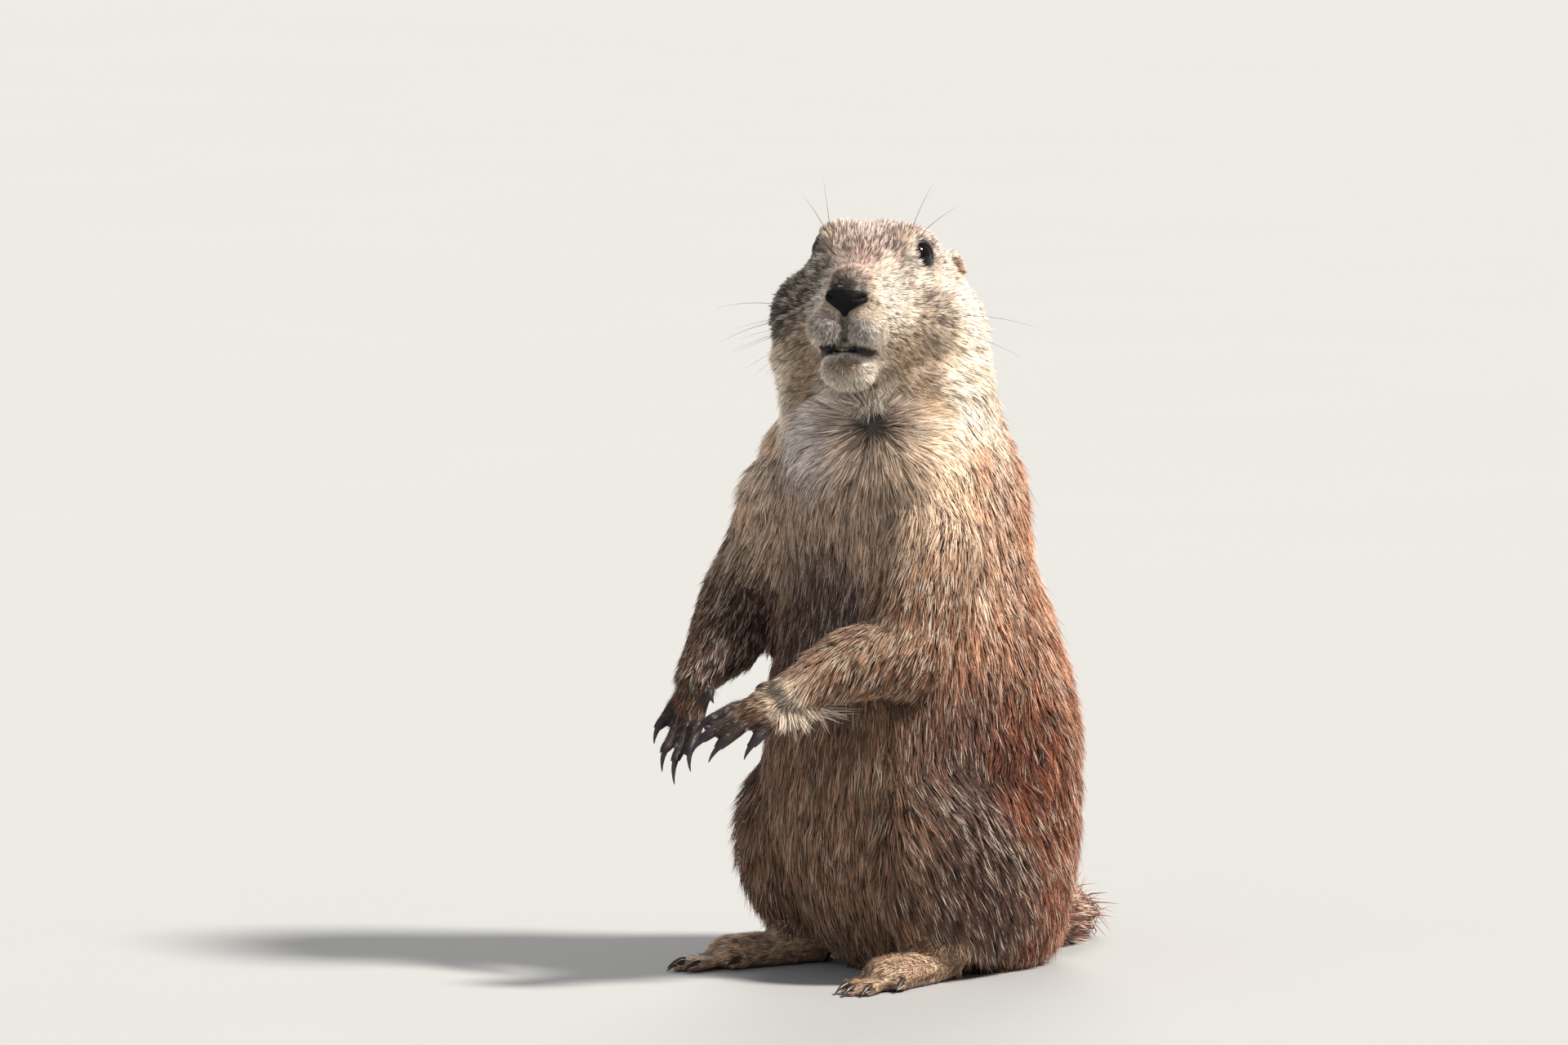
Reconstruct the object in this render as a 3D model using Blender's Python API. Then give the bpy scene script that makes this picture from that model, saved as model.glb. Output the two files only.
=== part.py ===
"""A black-tailed prairie dog sitting up on its haunches, life size, with its head turned to its left.

It faces -Y, its left side is +X, and it rests on the floor at z = 0. The flesh is built as one
body from lofts and balls that a voxel remesh blends, and is then parted into its named pieces by
thin cuts. Eyes, ears and claws are pieces of their own. Places are in millimetres through mm().
"""

import math
import random

import bmesh
import bpy
from mathutils import Matrix, Vector

MM = 0.001
GAP = 0.3 * MM
UP = Vector((0.0, 0.0, 1.0))
SIDES = {"left": 1.0, "right": -1.0}

# Trunk stations, from the seat to the throat, in millimetres and degrees: height, place across,
# place along, half width, half depth in front, half depth behind, and how far the body has turned.
TRUNK = (
    (-3, 0, 20, 29, 32, 32, 0),
    (9, 0, 17, 41, 42, 45, 0),
    (26, 0, 11, 48, 49, 54, 0),
    (46, 0, 8, 52, 54, 60, 0),
    (66, 0, 7, 53, 56, 62, 0),
    (86, 0, 7, 52, 56, 62, 0),
    (106, 0, 5, 49, 53, 60, 2),
    (126, 1, 2, 46, 48, 55, 5),
    (146, 2, -1, 43, 43, 49, 8),
    (164, 2, -4, 43, 42, 51, 12),
    (181, 3, -6, 41, 41, 50, 16),
    (198, 2, -9, 38, 36, 45, 22),
    (212, 1, -11, 37.5, 31, 43, 27),
    (226, 1, -12, 35.5, 27, 42, 31),
    (240, 1, -13, 29, 20, 38, 31),
    (250, 0, -13, 20, 14, 30, 31),
)
HAUNCH_CENTRE = (36, -2, 46)
HAUNCH_RADII = (19.5, 43, 42)
SHOULDER_RADII = (15, 20, 24)
NECK_BASE_AT = (27, -19, 181)
NECK_BASE_RADII = (17, 18, 21)

# The head's own frame: nose towards -Y, left ear towards +X, its origin between the ears.
HEAD_AT = (2.2, -14, 246.5)
HEAD_TURN = 33
HEAD_LIFT = 12
HEAD_TILT = 2
# Head stations, from the nose to the nape: place along, height of the widest line, half width,
# reach above that line, reach below it, and by how much the head narrows towards its crown.
HEAD = (
    (-41.5, -12, 5, 4.5, 6, 0),
    (-39, -14, 8.2, 8.5, 12, 0),
    (-35, -16, 10.4, 13, 17, 0),
    (-30, -17, 12.2, 18.5, 20, 0),
    (-24, -17, 15.5, 24.5, 22, 0),
    (-17, -17, 23, 31, 23, 0.04),
    (-9, -17, 30.5, 35.5, 24, 0.1),
    (0, -17, 35, 37.5, 25, 0.2),
    (9, -16, 36.5, 37.2, 27, 0.24),
    (18, -14, 35.5, 35, 29, 0.24),
    (27, -12, 31, 26, 30, 0.2),
    (35, -10, 23, 13, 24, 0.1),
)
HEAD_MASSES = (
    ("nose bridge", (0, -33, -6), (8.8, 9.5, 7.5)),
    ("lips", (0, -30, -24.5), (13, 10, 9)),
    ("chin", (0, -30.5, -36.5), (10, 8.6, 7)),
)
PAIRED_HEAD_MASSES = (
    ("brow", (12, -4, 12.2), (9.4, 15, 7.6)),
    ("orbit", (12.6, -8, 5), (9.3, 14, 12)),
    ("cheek", (21, 1, -15), (15.5, 21, 17)),
    ("jowl", (20, 5, -28), (16, 20, 14)),
    ("whisker pad", (7.4, -35.2, -22.6), (7.8, 8.4, 7.2)),
)
NOSE_AT = (0, -39.6, -11.8)
NOSE_RADII = (7.6, 4.2, 4.8)
NOSE_CUT = ((0, -42.8, -12.2), (8.4, 5.4, 5.8))
NOSTRIL = ((5.8, -42.6, -11.4), (2.3, 3.2, 0.9), -28)
PHILTRUM = ((0, -43.6, -15.5), (0, -42.2, -19), (0, -41.2, -26))
MOUTH = ((-12, -28, -31.2), (-8, -35.5, -30.0), (0, -39.6, -28.4), (7, -36.5, -29.6), (10, -33, -30.6))
MOUTH_DEPTHS = (1.4, 4.4, 6.2, 3.2, 0.9)
MOUTH_FLATNESS = 0.27
EYE_AT = (15.9, -11.6, 7.6)
EYE_RADIUS = 5.8
LID_THICKNESS = 1.1
EYE_OPENING = (4.6, 4.6)
EYE_GAZE = (0.83, -0.54, 0.12)
EAR_AT = (22.6, 14.5, 6)
EAR_RADII = (3.6, 6.5, 7.5)
EAR_FACING = -28
EAR_CUP_OFFSET = (2.6, -2.2, -0.4)
EAR_CUP_RADII = (3.0, 4.6, 5.4)
EAR_CUT = ((25.6, 13.5, 6), (5.4, 8.8, 9.8))
# Where the head and the neck are parted from what is below, and how the cuts lean.
HEAD_CUT = (2, -12, 213)
NECK_TILT = 14
NECK_CUT = (2, -8, 188)
CHEST_TILT = 4

# Arms, from the shoulder down, as joint places and radii.
ARMS = {
    "left": {
        "shoulder": (36, -19, 158),
        "elbow": (42, -37, 120),
        "forearm": (34, -56, 115.5),
        "wrist": (26, -75, 106),
        "knuckles": (20, -90.5, 99),
        "lean": (0.8, 0.1, -0.55),
        "droop": 9,
        "radii": (17.5, 17, 16.2, 12.8, 8.2),
    },
    "right": {
        "shoulder": (-31, -27, 164),
        "elbow": (-41, -38, 133),
        "forearm": (-34, -53, 119.5),
        "wrist": (-30, -71, 108),
        "knuckles": (-29, -76.5, 94.5),
        "lean": (-1, -0.15, 0),
        "droop": -7,
        "radii": (17, 16, 15.5, 14, 7.6),
    },
}
PALM_HALF_WIDTH = 8.0
PALM_HALF_THICKNESS = 4.6
# Each finger: place across the knuckles, start along the hand as a share, length, splay, radius.
FINGERS = (
    ("thumb", -7.2, 0.30, 5.0, -30, 2.0),
    ("index", -5.8, 0.86, 18.0, -8, 2.4),
    ("middle", -1.9, 1.00, 19.5, -3, 2.5),
    ("ring", 2.2, 0.94, 17.0, 4, 2.5),
    ("little", 6.4, 0.62, 13.5, 14, 2.4),
)
CLAW_LENGTHS = {"thumb": 4.0, "index": 8.5, "middle": 10.0, "ring": 9.0, "little": 7.5}

# Hind legs: the shank lies under the haunch and the foot is flat on the floor.
KNEE_AT = (35, -30, 38)
ANKLE_AT = (34, -16, 11)
SHANK_RADII = (11, 10)
HEEL_AT = (33, -8, 6)
FOOT_LENGTH = 46
FOOT_SPLAY = 12
FOOT_HALF_WIDTH = 8.5
FOOT_HALF_THICKNESS = 7.0
TOES = (
    ("first", -6.6, 0.74, 8.0, -14, 2.3),
    ("second", -4.0, 0.98, 11.5, -6, 2.5),
    ("third", 0.0, 1.02, 13.0, 0, 2.6),
    ("fourth", 4.0, 0.98, 11.5, 6, 2.5),
    ("fifth", 6.8, 0.72, 8.0, 14, 2.3),
)
TOE_CLAW_LENGTH = 7.0
TAIL_PATH = ((0, 50, 15), (-4, 72, 12), (-14, 92, 9), (-34, 110, 8), (-58, 118, 8), (-70, 118, 8))
TAIL_RADII = (14, 11, 9.5, 9, 7, 3)
BRUSH_CUT = (-18, 100, 12)
TAIL_BEND = -42
BRUSH_LEVELS = 5
BRUSH_LOCKS = 6

TRUNK_VOXEL = 2.4 * MM
HEAD_VOXEL = 1.3 * MM
FINE_VOXEL = 1.0 * MM
# How many triangles the surface keeps: the trunk, the head, and the hands, feet and tail.
KEPT_TRIANGLES = {"trunk": 1080, "head": 1580, "limbs": 1100}


def mm(x, y, z):
    return Vector((x, y, z)) * MM


def in_mm(point):
    return tuple(point / MM)


def turned(degrees, axis):
    return Matrix.Rotation(math.radians(degrees), 4, axis)


def mirrored(place, side):
    x, y, z = place
    return (x * side, y, z)


def head_frame():
    """The matrix from the head's own frame to the world."""
    place = Matrix.Translation(mm(*HEAD_AT))
    return place @ turned(HEAD_TURN, "Z") @ turned(-HEAD_LIFT, "X") @ turned(HEAD_TILT, "Y")


def finished(name, bm):
    """A scene object from a bmesh, with its normals outwards."""
    bmesh.ops.recalc_face_normals(bm, faces=bm.faces[:])
    mesh = bpy.data.meshes.new(name)
    bm.to_mesh(mesh)
    bm.free()
    item = bpy.data.objects.new(name, mesh)
    bpy.context.scene.collection.objects.link(item)
    return item


def with_modifiers(item):
    """Replaces the object's mesh by what its modifiers make of it."""
    graph = bpy.context.evaluated_depsgraph_get()
    mesh = bpy.data.meshes.new_from_object(item.evaluated_get(graph))
    item.modifiers.clear()
    old = item.data
    item.data = mesh
    bpy.data.meshes.remove(old)
    return item


def removed(item):
    mesh = item.data
    bpy.data.objects.remove(item)
    bpy.data.meshes.remove(mesh)


def spline(rows, steps):
    """Catmull-Rom points through rows of numbers, steps to each span, as plain lists."""
    rows = [list(map(float, row)) for row in rows]
    padded = [rows[0]] + rows + [rows[-1]]
    found = []
    for i in range(len(rows) - 1):
        a, b, c, d = padded[i : i + 4]
        for k in range(steps):
            t = k / steps
            found.append([
                0.5 * (2 * q + (r - p) * t + (2 * p - 5 * q + 4 * r - s) * t**2
                       + (3 * q - p - 3 * r + s) * t**3)
                for p, q, r, s in zip(a, b, c, d)
            ])
    return found + [rows[-1]]


def ring(bm, centre, across, along, half_width, half_front, half_back, sides, pinch=0.0):
    """A closed loop of edges: an oval whose two half depths may differ."""
    made = bmesh.ops.create_circle(bm, segments=sides, radius=1.0)["verts"]
    for v in made:
        x, y = v.co.x, v.co.y
        depth = half_front if y < 0 else half_back
        width = half_width * (1 - pinch * max(y, 0.0))
        v.co = centre + across * (x * width) + along * (y * depth)
    return list({e for v in made for e in v.link_edges})


def skinned(bm, loops):
    """Bridges the loops one after another and closes both ends."""
    for first, second in zip(loops, loops[1:]):
        bmesh.ops.bridge_loops(bm, edges=first + second)
    for end in (loops[0], loops[-1]):
        bmesh.ops.contextual_create(bm, geom=end)


def add_trunk(bm):
    loops = []
    for height, x, y, half_width, front, back, turn in spline(TRUNK, 3):
        facing = turned(turn, "Z")
        loops.append(ring(
            bm, mm(x, y, height), facing @ Vector((1, 0, 0)), facing @ Vector((0, 1, 0)),
            half_width * MM, front * MM, back * MM, 44,
        ))
    skinned(bm, loops)


def add_head(bm):
    frame = head_frame()
    axes = frame.to_3x3()
    loops = []
    for along, height, half_width, above, below, pinch in spline(HEAD, 2):
        loops.append(ring(
            bm, frame @ mm(0, along, height), axes @ Vector((1, 0, 0)), axes @ Vector((0, 0, 1)),
            half_width * MM, below * MM, above * MM, 40, pinch,
        ))
    skinned(bm, loops)
    for _, place, radii in HEAD_MASSES:
        add_ball(bm, place, radii, frame)
    for _, place, radii in PAIRED_HEAD_MASSES:
        for side in SIDES.values():
            add_ball(bm, mirrored(place, side), radii, frame)


def add_ball(bm, centre, radii, frame=None, detail=3, grow=0.0, spin=None):
    """An ellipsoid. Centre, radii and grow are in millimetres, in the frame's own axes."""
    size = Matrix.Diagonal(mm(*(r + grow for r in radii))).to_4x4()
    shape = (frame or Matrix()) @ Matrix.Translation(mm(*centre)) @ (spin or Matrix()) @ size
    bmesh.ops.create_icosphere(bm, subdivisions=detail, radius=1.0, matrix=shape)


def add_globe(bm, frame, radius):
    """A ball of few sides whose pole looks along the frame's Z. Its radius is in millimetres."""
    bmesh.ops.create_uvsphere(
        bm, u_segments=14, v_segments=9, radius=1.0,
        matrix=frame @ Matrix.Diagonal(mm(*(radius,) * 3)).to_4x4(),
    )


def add_box(bm, centre, halves, facing, grow=0.0):
    size = Matrix.Diagonal(mm(*(2 * (h + grow) for h in halves))).to_4x4()
    bmesh.ops.create_cube(bm, size=1.0, matrix=Matrix.Translation(centre) @ facing @ size)


def add_limb(bm, path, radii, flat=1.0, up=UP, grow=0.0, sides=20, steps=5, caps=(80, 60, 35)):
    """A tube of changing radius along a smooth path in millimetres, with rounded ends.

    flat is its thickness along up as a share of its width. grow widens it all round.
    """
    rows = spline([(*p, r) for p, r in zip(path, radii)], steps)
    points = [mm(*row[:3]) for row in rows]
    widths = [row[3] * MM for row in rows]
    loops = []

    def loop_at(centre, tangent, share, width):
        side = up.cross(tangent).normalized()
        over = tangent.cross(side).normalized()
        wide = (width + grow * MM) * share
        high = (width * flat + grow * MM) * share
        loops.append(ring(bm, centre, side, over, wide, high, high, sides))

    tangents = [
        (points[min(i + 1, len(points) - 1)] - points[max(i - 1, 0)]).normalized()
        for i in range(len(points))
    ]
    caps = [math.radians(a) for a in caps]
    for a in caps:
        reach = (widths[0] * flat + grow * MM) * math.sin(a)
        loop_at(points[0] - tangents[0] * reach, tangents[0], math.cos(a), widths[0])
    for point, tangent, width in zip(points, tangents, widths):
        loop_at(point, tangent, 1.0, width)
    for a in reversed(caps):
        reach = (widths[-1] * flat + grow * MM) * math.sin(a)
        loop_at(points[-1] + tangents[-1] * reach, tangents[-1], math.cos(a), widths[-1])
    skinned(bm, loops)


def blended(name, bm, voxel, rounds):
    """One closed surface round every form in the bmesh, smoothed so that they flow together."""
    item = finished(name, bm)
    remesh = item.modifiers.new("blend", "REMESH")
    remesh.mode = "VOXEL"
    remesh.voxel_size = voxel
    smooth = item.modifiers.new("soften", "SMOOTH")
    smooth.factor = 0.5
    smooth.iterations = rounds
    return with_modifiers(item)


def made(name, *builders):
    """An object from functions that each add a form to the same bmesh."""
    bm = bmesh.new()
    for build in builders:
        build(bm)
    return finished(name, bm)


def combined(item, tool, how, keep_tool=False):
    """Cuts the item with the tool, joins them, or keeps what they share."""
    cut = item.modifiers.new("combine", "BOOLEAN")
    cut.operation = how
    cut.object = tool
    cut.solver = "MANIFOLD"
    with_modifiers(item)
    if not keep_tool:
        removed(tool)
    return item


def islands(bm):
    """The separate surfaces of a bmesh, largest volume first, each as a list of its faces."""
    left = set(bm.faces)
    found = []
    while left:
        front = [left.pop()]
        faces = []
        while front:
            face = front.pop()
            faces.append(face)
            for edge in face.edges:
                for other in edge.link_faces:
                    if other in left:
                        left.discard(other)
                        front.append(other)
        found.append(faces)

    def volume(faces):
        total = 0.0
        for face in faces:
            corners = [v.co for v in face.verts]
            for second, third in zip(corners[1:], corners[2:]):
                total += corners[0].dot(second.cross(third)) / 6
        return total

    return sorted(found, key=volume, reverse=True)


def largest_only(item):
    """Drops the slivers that a cut leaves beside the piece itself."""
    bm = bmesh.new()
    bm.from_mesh(item.data)
    spare = [face for faces in islands(bm)[1:] for face in faces]
    if spare:
        bmesh.ops.delete(bm, geom=spare, context="FACES")
        bm.to_mesh(item.data)
    bm.free()
    return item


def duplicate(item, name):
    copy = bpy.data.objects.new(name, item.data.copy())
    bpy.context.scene.collection.objects.link(copy)
    return copy


def taken(body, name, region):
    """Takes the piece inside a region out of the body and leaves a thin gap round it.

    region(bm, grow) adds the region's form to a bmesh, grown by that many millimetres.
    """
    piece = duplicate(body, name)
    combined(piece, made(name + " region", lambda bm: region(bm, 0.0)), "INTERSECT")
    combined(body, made(name + " gap", lambda bm: region(bm, GAP / MM)), "DIFFERENCE")
    return largest_only(piece)


def hand_axes(arm, side):
    """The hand's forward, outward (towards the little finger) and back-of-hand directions."""
    forward = (mm(*arm["knuckles"]) - mm(*arm["wrist"])).normalized()
    lean = Vector(arm["lean"])
    outward = (lean - forward * forward.dot(lean)).normalized()
    return forward, outward, (forward.cross(outward) * side).normalized()


def digit_places(root, forward, outward, down, row, span, droop):
    """The places along one finger or toe, and the direction in which it ends."""
    name, across, start, length, splay, radius = row
    base = root + forward * (span * start) * MM + outward * across * MM
    way = forward * math.cos(math.radians(splay)) + outward * math.sin(math.radians(splay))

    def bent(share):
        angle = math.radians(droop * share)
        return (way * math.cos(angle) + down * math.sin(angle)).normalized()

    middle = base + bent(1.0) * length * 0.5 * MM
    tip = middle + bent(2.2) * length * 0.5 * MM
    return (base - way * 3 * MM, base, middle, tip), bent(2.2)


def add_digit(bm, places, radius, up):
    add_limb(
        bm, [in_mm(p) for p in places], (radius, radius, radius * 1.05, radius * 0.85),
        up=up, sides=12, steps=3,
    )


def arm_layout(side_name):
    """Everything that the pieces of one arm are placed from."""
    side = SIDES[side_name]
    arm = ARMS[side_name]
    forward, outward, back = hand_axes(arm, side)
    wrist = mm(*arm["wrist"])
    span = (mm(*arm["knuckles"]) - wrist).length / MM
    digits = {
        row[0]: digit_places(wrist, forward, outward, -back, row, span, arm["droop"])
        for row in FINGERS
    }
    return arm, forward, outward, back, span, digits


def halfway(first, second):
    return in_mm((mm(*first) + mm(*second)) / 2)


def add_upper_arm(bm, side_name, **shape):
    arm = ARMS[side_name]
    path = (arm["shoulder"], halfway(arm["shoulder"], arm["elbow"]), arm["elbow"])
    add_limb(bm, path, arm["radii"][:3], **shape)


def add_forearm(bm, side_name, **shape):
    arm = ARMS[side_name]
    path = (arm["elbow"], arm["forearm"], arm["wrist"])
    add_limb(bm, path, arm["radii"][2:], **shape)


def add_hand(bm, side_name):
    arm, forward, outward, back, span, digits = arm_layout(side_name)
    wrist = mm(*arm["wrist"])
    palm = (wrist - forward * 2 * MM, wrist + forward * span * 0.85 * MM)
    add_limb(
        bm, [in_mm(p) for p in palm], (arm["radii"][4] * 0.95, PALM_HALF_WIDTH),
        flat=PALM_HALF_THICKNESS / PALM_HALF_WIDTH, up=back,
    )
    for row in FINGERS:
        add_digit(bm, digits[row[0]][0], row[5], back)


def foot_layout(side_name):
    side = SIDES[side_name]
    way = turned(FOOT_SPLAY * side, "Z")
    forward = way @ Vector((0, -1, 0))
    outward = way @ Vector((side, 0, 0))
    heel = mm(*mirrored(HEEL_AT, side))
    digits = {
        row[0]: digit_places(heel - UP * 2.6 * MM, forward, outward, -UP, row, FOOT_LENGTH, 6)
        for row in TOES
    }
    return side, forward, outward, heel, digits


def add_leg(bm, side_name):
    side, forward, outward, heel, digits = foot_layout(side_name)
    add_limb(bm, (mirrored(KNEE_AT, side), mirrored(ANKLE_AT, side)), SHANK_RADII)
    ball_of_foot = heel + forward * FOOT_LENGTH * 0.85 * MM - UP * 0.8 * MM
    add_limb(
        bm, (in_mm(heel), in_mm((heel + ball_of_foot) / 2), in_mm(ball_of_foot)),
        (FOOT_HALF_WIDTH * 0.85, FOOT_HALF_WIDTH, FOOT_HALF_WIDTH),
        flat=FOOT_HALF_THICKNESS / FOOT_HALF_WIDTH,
    )
    for row in TOES:
        add_digit(bm, digits[row[0]][0], row[5], UP)


def make_trunk():
    bm = bmesh.new()
    add_trunk(bm)
    for name, side in SIDES.items():
        add_ball(bm, mirrored(HAUNCH_CENTRE, side), HAUNCH_RADII)
        add_ball(bm, ARMS[name]["shoulder"], SHOULDER_RADII)
        add_ball(bm, mirrored(NECK_BASE_AT, side), NECK_BASE_RADII)
        add_upper_arm(bm, name)
    return blended("trunk", bm, TRUNK_VOXEL, 12)


def make_head_form():
    bm = bmesh.new()
    add_head(bm)
    return blended("head form", bm, HEAD_VOXEL, 7)


def make_whole():
    """The animal's flesh and coat as one closed surface."""
    trunk = make_trunk()
    head = make_head_form()
    bm = bmesh.new()
    for name in SIDES:
        add_forearm(bm, name)
        add_hand(bm, name)
        add_leg(bm, name)
    add_limb(bm, TAIL_PATH, TAIL_RADII)
    add_ball(bm, NOSE_AT, NOSE_RADII, head_frame())
    bm.from_mesh(trunk.data)
    bm.from_mesh(head.data)
    removed(trunk)
    removed(head)
    return blended("whole", bm, FINE_VOXEL, 5)


def in_head(place):
    x, y, z = head_frame().inverted() @ place / MM
    return z > -42 and place.z > 0.196


def in_limbs(place):
    x, y, z = place / MM
    hand = y < -58 and 60 < z < 125
    foot = y < -8 and z < 19 and abs(x) > 18
    return hand or foot or (y > 64 and z < 40)


def region_of(place):
    if in_head(place):
        return "head"
    return "limbs" if in_limbs(place) else "trunk"


def triangle_count(mesh):
    return sum(len(p.vertices) - 2 for p in mesh.polygons)


def thinned(item):
    """Takes triangles away region by region, so that the head and the digits keep more."""
    for region, kept in KEPT_TRIANGLES.items():
        mesh = item.data
        inside = [v.index for v in mesh.vertices if region_of(v.co) == region]
        flags = set(inside)
        here = sum(
            len(p.vertices) - 2 for p in mesh.polygons if all(i in flags for i in p.vertices)
        )
        group = item.vertex_groups.new(name=region)
        group.add(inside, 1.0, "REPLACE")
        total = triangle_count(mesh)
        decimate = item.modifiers.new("thin", "DECIMATE")
        decimate.vertex_group = region
        decimate.ratio = (total - here + kept) / total
        with_modifiers(item)
        item.vertex_groups.clear()
    return item


def on_floor(item):
    """Cuts the flesh off level at the floor, which leaves the flats that it rests on."""
    return combined(item, made("floor", floor_block), "DIFFERENCE")


def floor_block(bm):
    add_box(bm, mm(0, 0, -20), (200, 250, 20), Matrix())


def eye_frame(side):
    """A frame at the eyeball's centre whose Z looks out of the eye and whose Y is up the face."""
    frame = head_frame()
    gaze = (frame.to_3x3() @ Vector(mirrored(EYE_GAZE, side))).normalized()
    up = frame.to_3x3() @ Vector((0, 0, 1))
    across = up.cross(gaze).normalized()
    turn = Matrix((across, gaze.cross(across), gaze)).transposed().to_4x4()
    return Matrix.Translation(frame @ mm(*mirrored(EYE_AT, side))) @ turn


def add_opening(bm, side):
    """The gap between the lids: a lens-shaped rod from the eyeball's centre outwards."""
    frame = eye_frame(side)
    half_long, half_high = EYE_OPENING
    loops = []
    for depth, share in ((2.0, 0.9), (12.0, 1.25)):
        made_ring = bmesh.ops.create_circle(bm, segments=22, radius=1.0)["verts"]
        for v in made_ring:
            x, y = v.co.x, v.co.y
            pinch = 1 - 0.22 * x * x
            v.co = frame @ mm(x * half_long * share, y * half_high * pinch * share, depth)
        loops.append(list({e for v in made_ring for e in v.link_edges}))
    skinned(bm, loops)


def open_eyes(body):
    """Adds the lids, opens them and hollows the sockets. Returns the eyeballs."""
    eyes = []
    for name, side in SIDES.items():
        frame = eye_frame(side)
        lid = EYE_RADIUS + LID_THICKNESS
        hollow = EYE_RADIUS + GAP / MM
        combined(body, made(
            "lid", lambda bm: add_ball(bm, (0, 0, 0), (lid,) * 3, frame, detail=2)
        ), "UNION")
        combined(body, made("opening", lambda bm: add_opening(bm, side)), "DIFFERENCE")
        combined(body, made("socket", lambda bm: add_globe(bm, frame, hollow)), "DIFFERENCE")
        eyes.append(made("eye_" + name, lambda bm: add_globe(bm, frame, EYE_RADIUS)))
    return eyes


def add_ears(body):
    """Low rounded ears, each a rim round a cup that faces forwards and out."""
    frame = head_frame()
    out, back, up = EAR_CUP_OFFSET
    for side in SIDES.values():
        spin = turned(EAR_FACING * side, "Z")
        place = mirrored(EAR_AT, side)
        combined(body, made(
            "ear", lambda bm: add_ball(bm, place, EAR_RADII, frame, detail=2, spin=spin)
        ), "UNION")
        cup = (place[0] + out * side, place[1] + back, place[2] + up)
        combined(body, made(
            "cup", lambda bm: add_ball(bm, cup, EAR_CUP_RADII, frame, detail=2, spin=spin)
        ), "DIFFERENCE")


def open_mouth(body):
    frame = head_frame()

    def add_tube(bm, path, radii, flat, up):
        add_limb(
            bm, [in_mm(frame @ mm(*p)) for p in path], radii, flat=flat,
            up=frame.to_3x3() @ up, sides=8, steps=2, caps=(60,),
        )

    combined(body, made(
        "mouth", lambda bm: add_tube(bm, MOUTH, MOUTH_DEPTHS, MOUTH_FLATNESS, UP)
    ), "DIFFERENCE")
    combined(body, made(
        "philtrum", lambda bm: add_tube(bm, PHILTRUM, (0.8, 0.7, 1.0), 1.0, Vector((0, -1, 0)))
    ), "DIFFERENCE")
    place, radii, turn = NOSTRIL
    for side in SIDES.values():
        spin = turned(turn * side, "Y")
        combined(body, made(
            "nostril",
            lambda bm: add_ball(bm, mirrored(place, side), radii, frame, detail=2, spin=spin),
        ), "DIFFERENCE")


def add_claw(bm, base, way, down, length, radius, bend, grow=0.0):
    """A curved claw: deep at its root, drawn out to a point that bends down."""
    path, widths = [], []
    for share in (0.0, 0.4, 0.75, 1.0):
        angle = math.radians(bend * share)
        reach = way * math.sin(angle) + down * (1 - math.cos(angle))
        path.append(in_mm(base + reach * length / math.radians(bend) * MM))
        widths.append(max(radius * (1 - 0.88 * share**1.3), 0.22))
    add_limb(bm, path, widths, up=-down, grow=grow, sides=5, steps=1, caps=(50,))


def claw_rows():
    """Name, holder, root, direction, downward direction, length, radius and bend of each claw."""
    rows = []
    for side_name in SIDES:
        arm, forward, outward, back, span, digits = arm_layout(side_name)
        for digit, (places, way) in digits.items():
            down = (-back - way * way.dot(-back)).normalized()
            row = f"claw_hand_{side_name}_{digit}"
            rows.append((
                row, "hand_" + side_name, places[-1] - way * 2.0 * MM, way, down,
                CLAW_LENGTHS[digit], 1.55, 54,
            ))
        side, forward, outward, heel, digits = foot_layout(side_name)
        for digit, (places, way) in digits.items():
            flat_way = (way - UP * way.z * 0.6).normalized()
            down = (-UP + flat_way * flat_way.z).normalized()
            rows.append((
                f"claw_foot_{side_name}_{digit}", "foot_" + side_name,
                places[-1] - way * 2.0 * MM + UP * 1.6 * MM, flat_way, down,
                TOE_CLAW_LENGTH, 1.35, 38,
            ))
    return rows


def head_region(bm, grow):
    frame = head_frame()
    turn = turned(HEAD_TURN, "Z") @ turned(NECK_TILT, "X")
    centre = mm(*HEAD_CUT) + (turn @ Vector((0, 0, 60 - grow / 2))) * MM
    add_box(bm, centre, (70, 80, 60 + grow / 2), turn)


def neck_region(bm, grow):
    turn = turned(HEAD_TURN * 0.5, "Z") @ turned(CHEST_TILT, "X")
    centre = mm(*NECK_CUT) + (turn @ Vector((0, 0, 60 - grow / 2))) * MM
    add_box(bm, centre, (60, 70, 60 + grow / 2), turn)


def hand_region(side_name):
    def add(bm, grow):
        arm, forward, outward, back, span, digits = arm_layout(side_name)
        turn = Matrix((outward, back, forward)).transposed().to_4x4()
        centre = mm(*arm["wrist"]) + forward * (25 - grow / 2) * MM
        add_box(bm, centre, (15, 18, 24 + grow / 2), turn)
    return add


def forearm_region(side_name):
    return lambda bm, grow: add_forearm(
        bm, side_name, grow=grow + 2.5, sides=16, steps=1, caps=(64, 32)
    )


def upper_arm_region(side_name):
    return lambda bm, grow: add_upper_arm(
        bm, side_name, grow=grow + 2.0, sides=16, steps=1, caps=(60, 30)
    )


def haunch_region(side):
    radii = tuple(r + 3 for r in HAUNCH_RADII)
    return lambda bm, grow: add_ball(bm, mirrored(HAUNCH_CENTRE, side), radii, grow=grow)


def foot_region(side):
    turn = turned(FOOT_SPLAY * side, "Z")
    way = turn @ Vector((0, -1, 0))

    def add(bm, grow):
        centre = mm(*mirrored(HEEL_AT, side)) + way * (32 - grow / 2) * MM
        add_box(bm, centre + UP * 1.0 * MM, (14 + grow, 32 + grow / 2, 9 + grow), turn)
    return add


def tail_region(bm, grow):
    add_box(bm, mm(-20, 63 + 60 - grow / 2, 12), (70, 60 + grow / 2, 20), Matrix())


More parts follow.
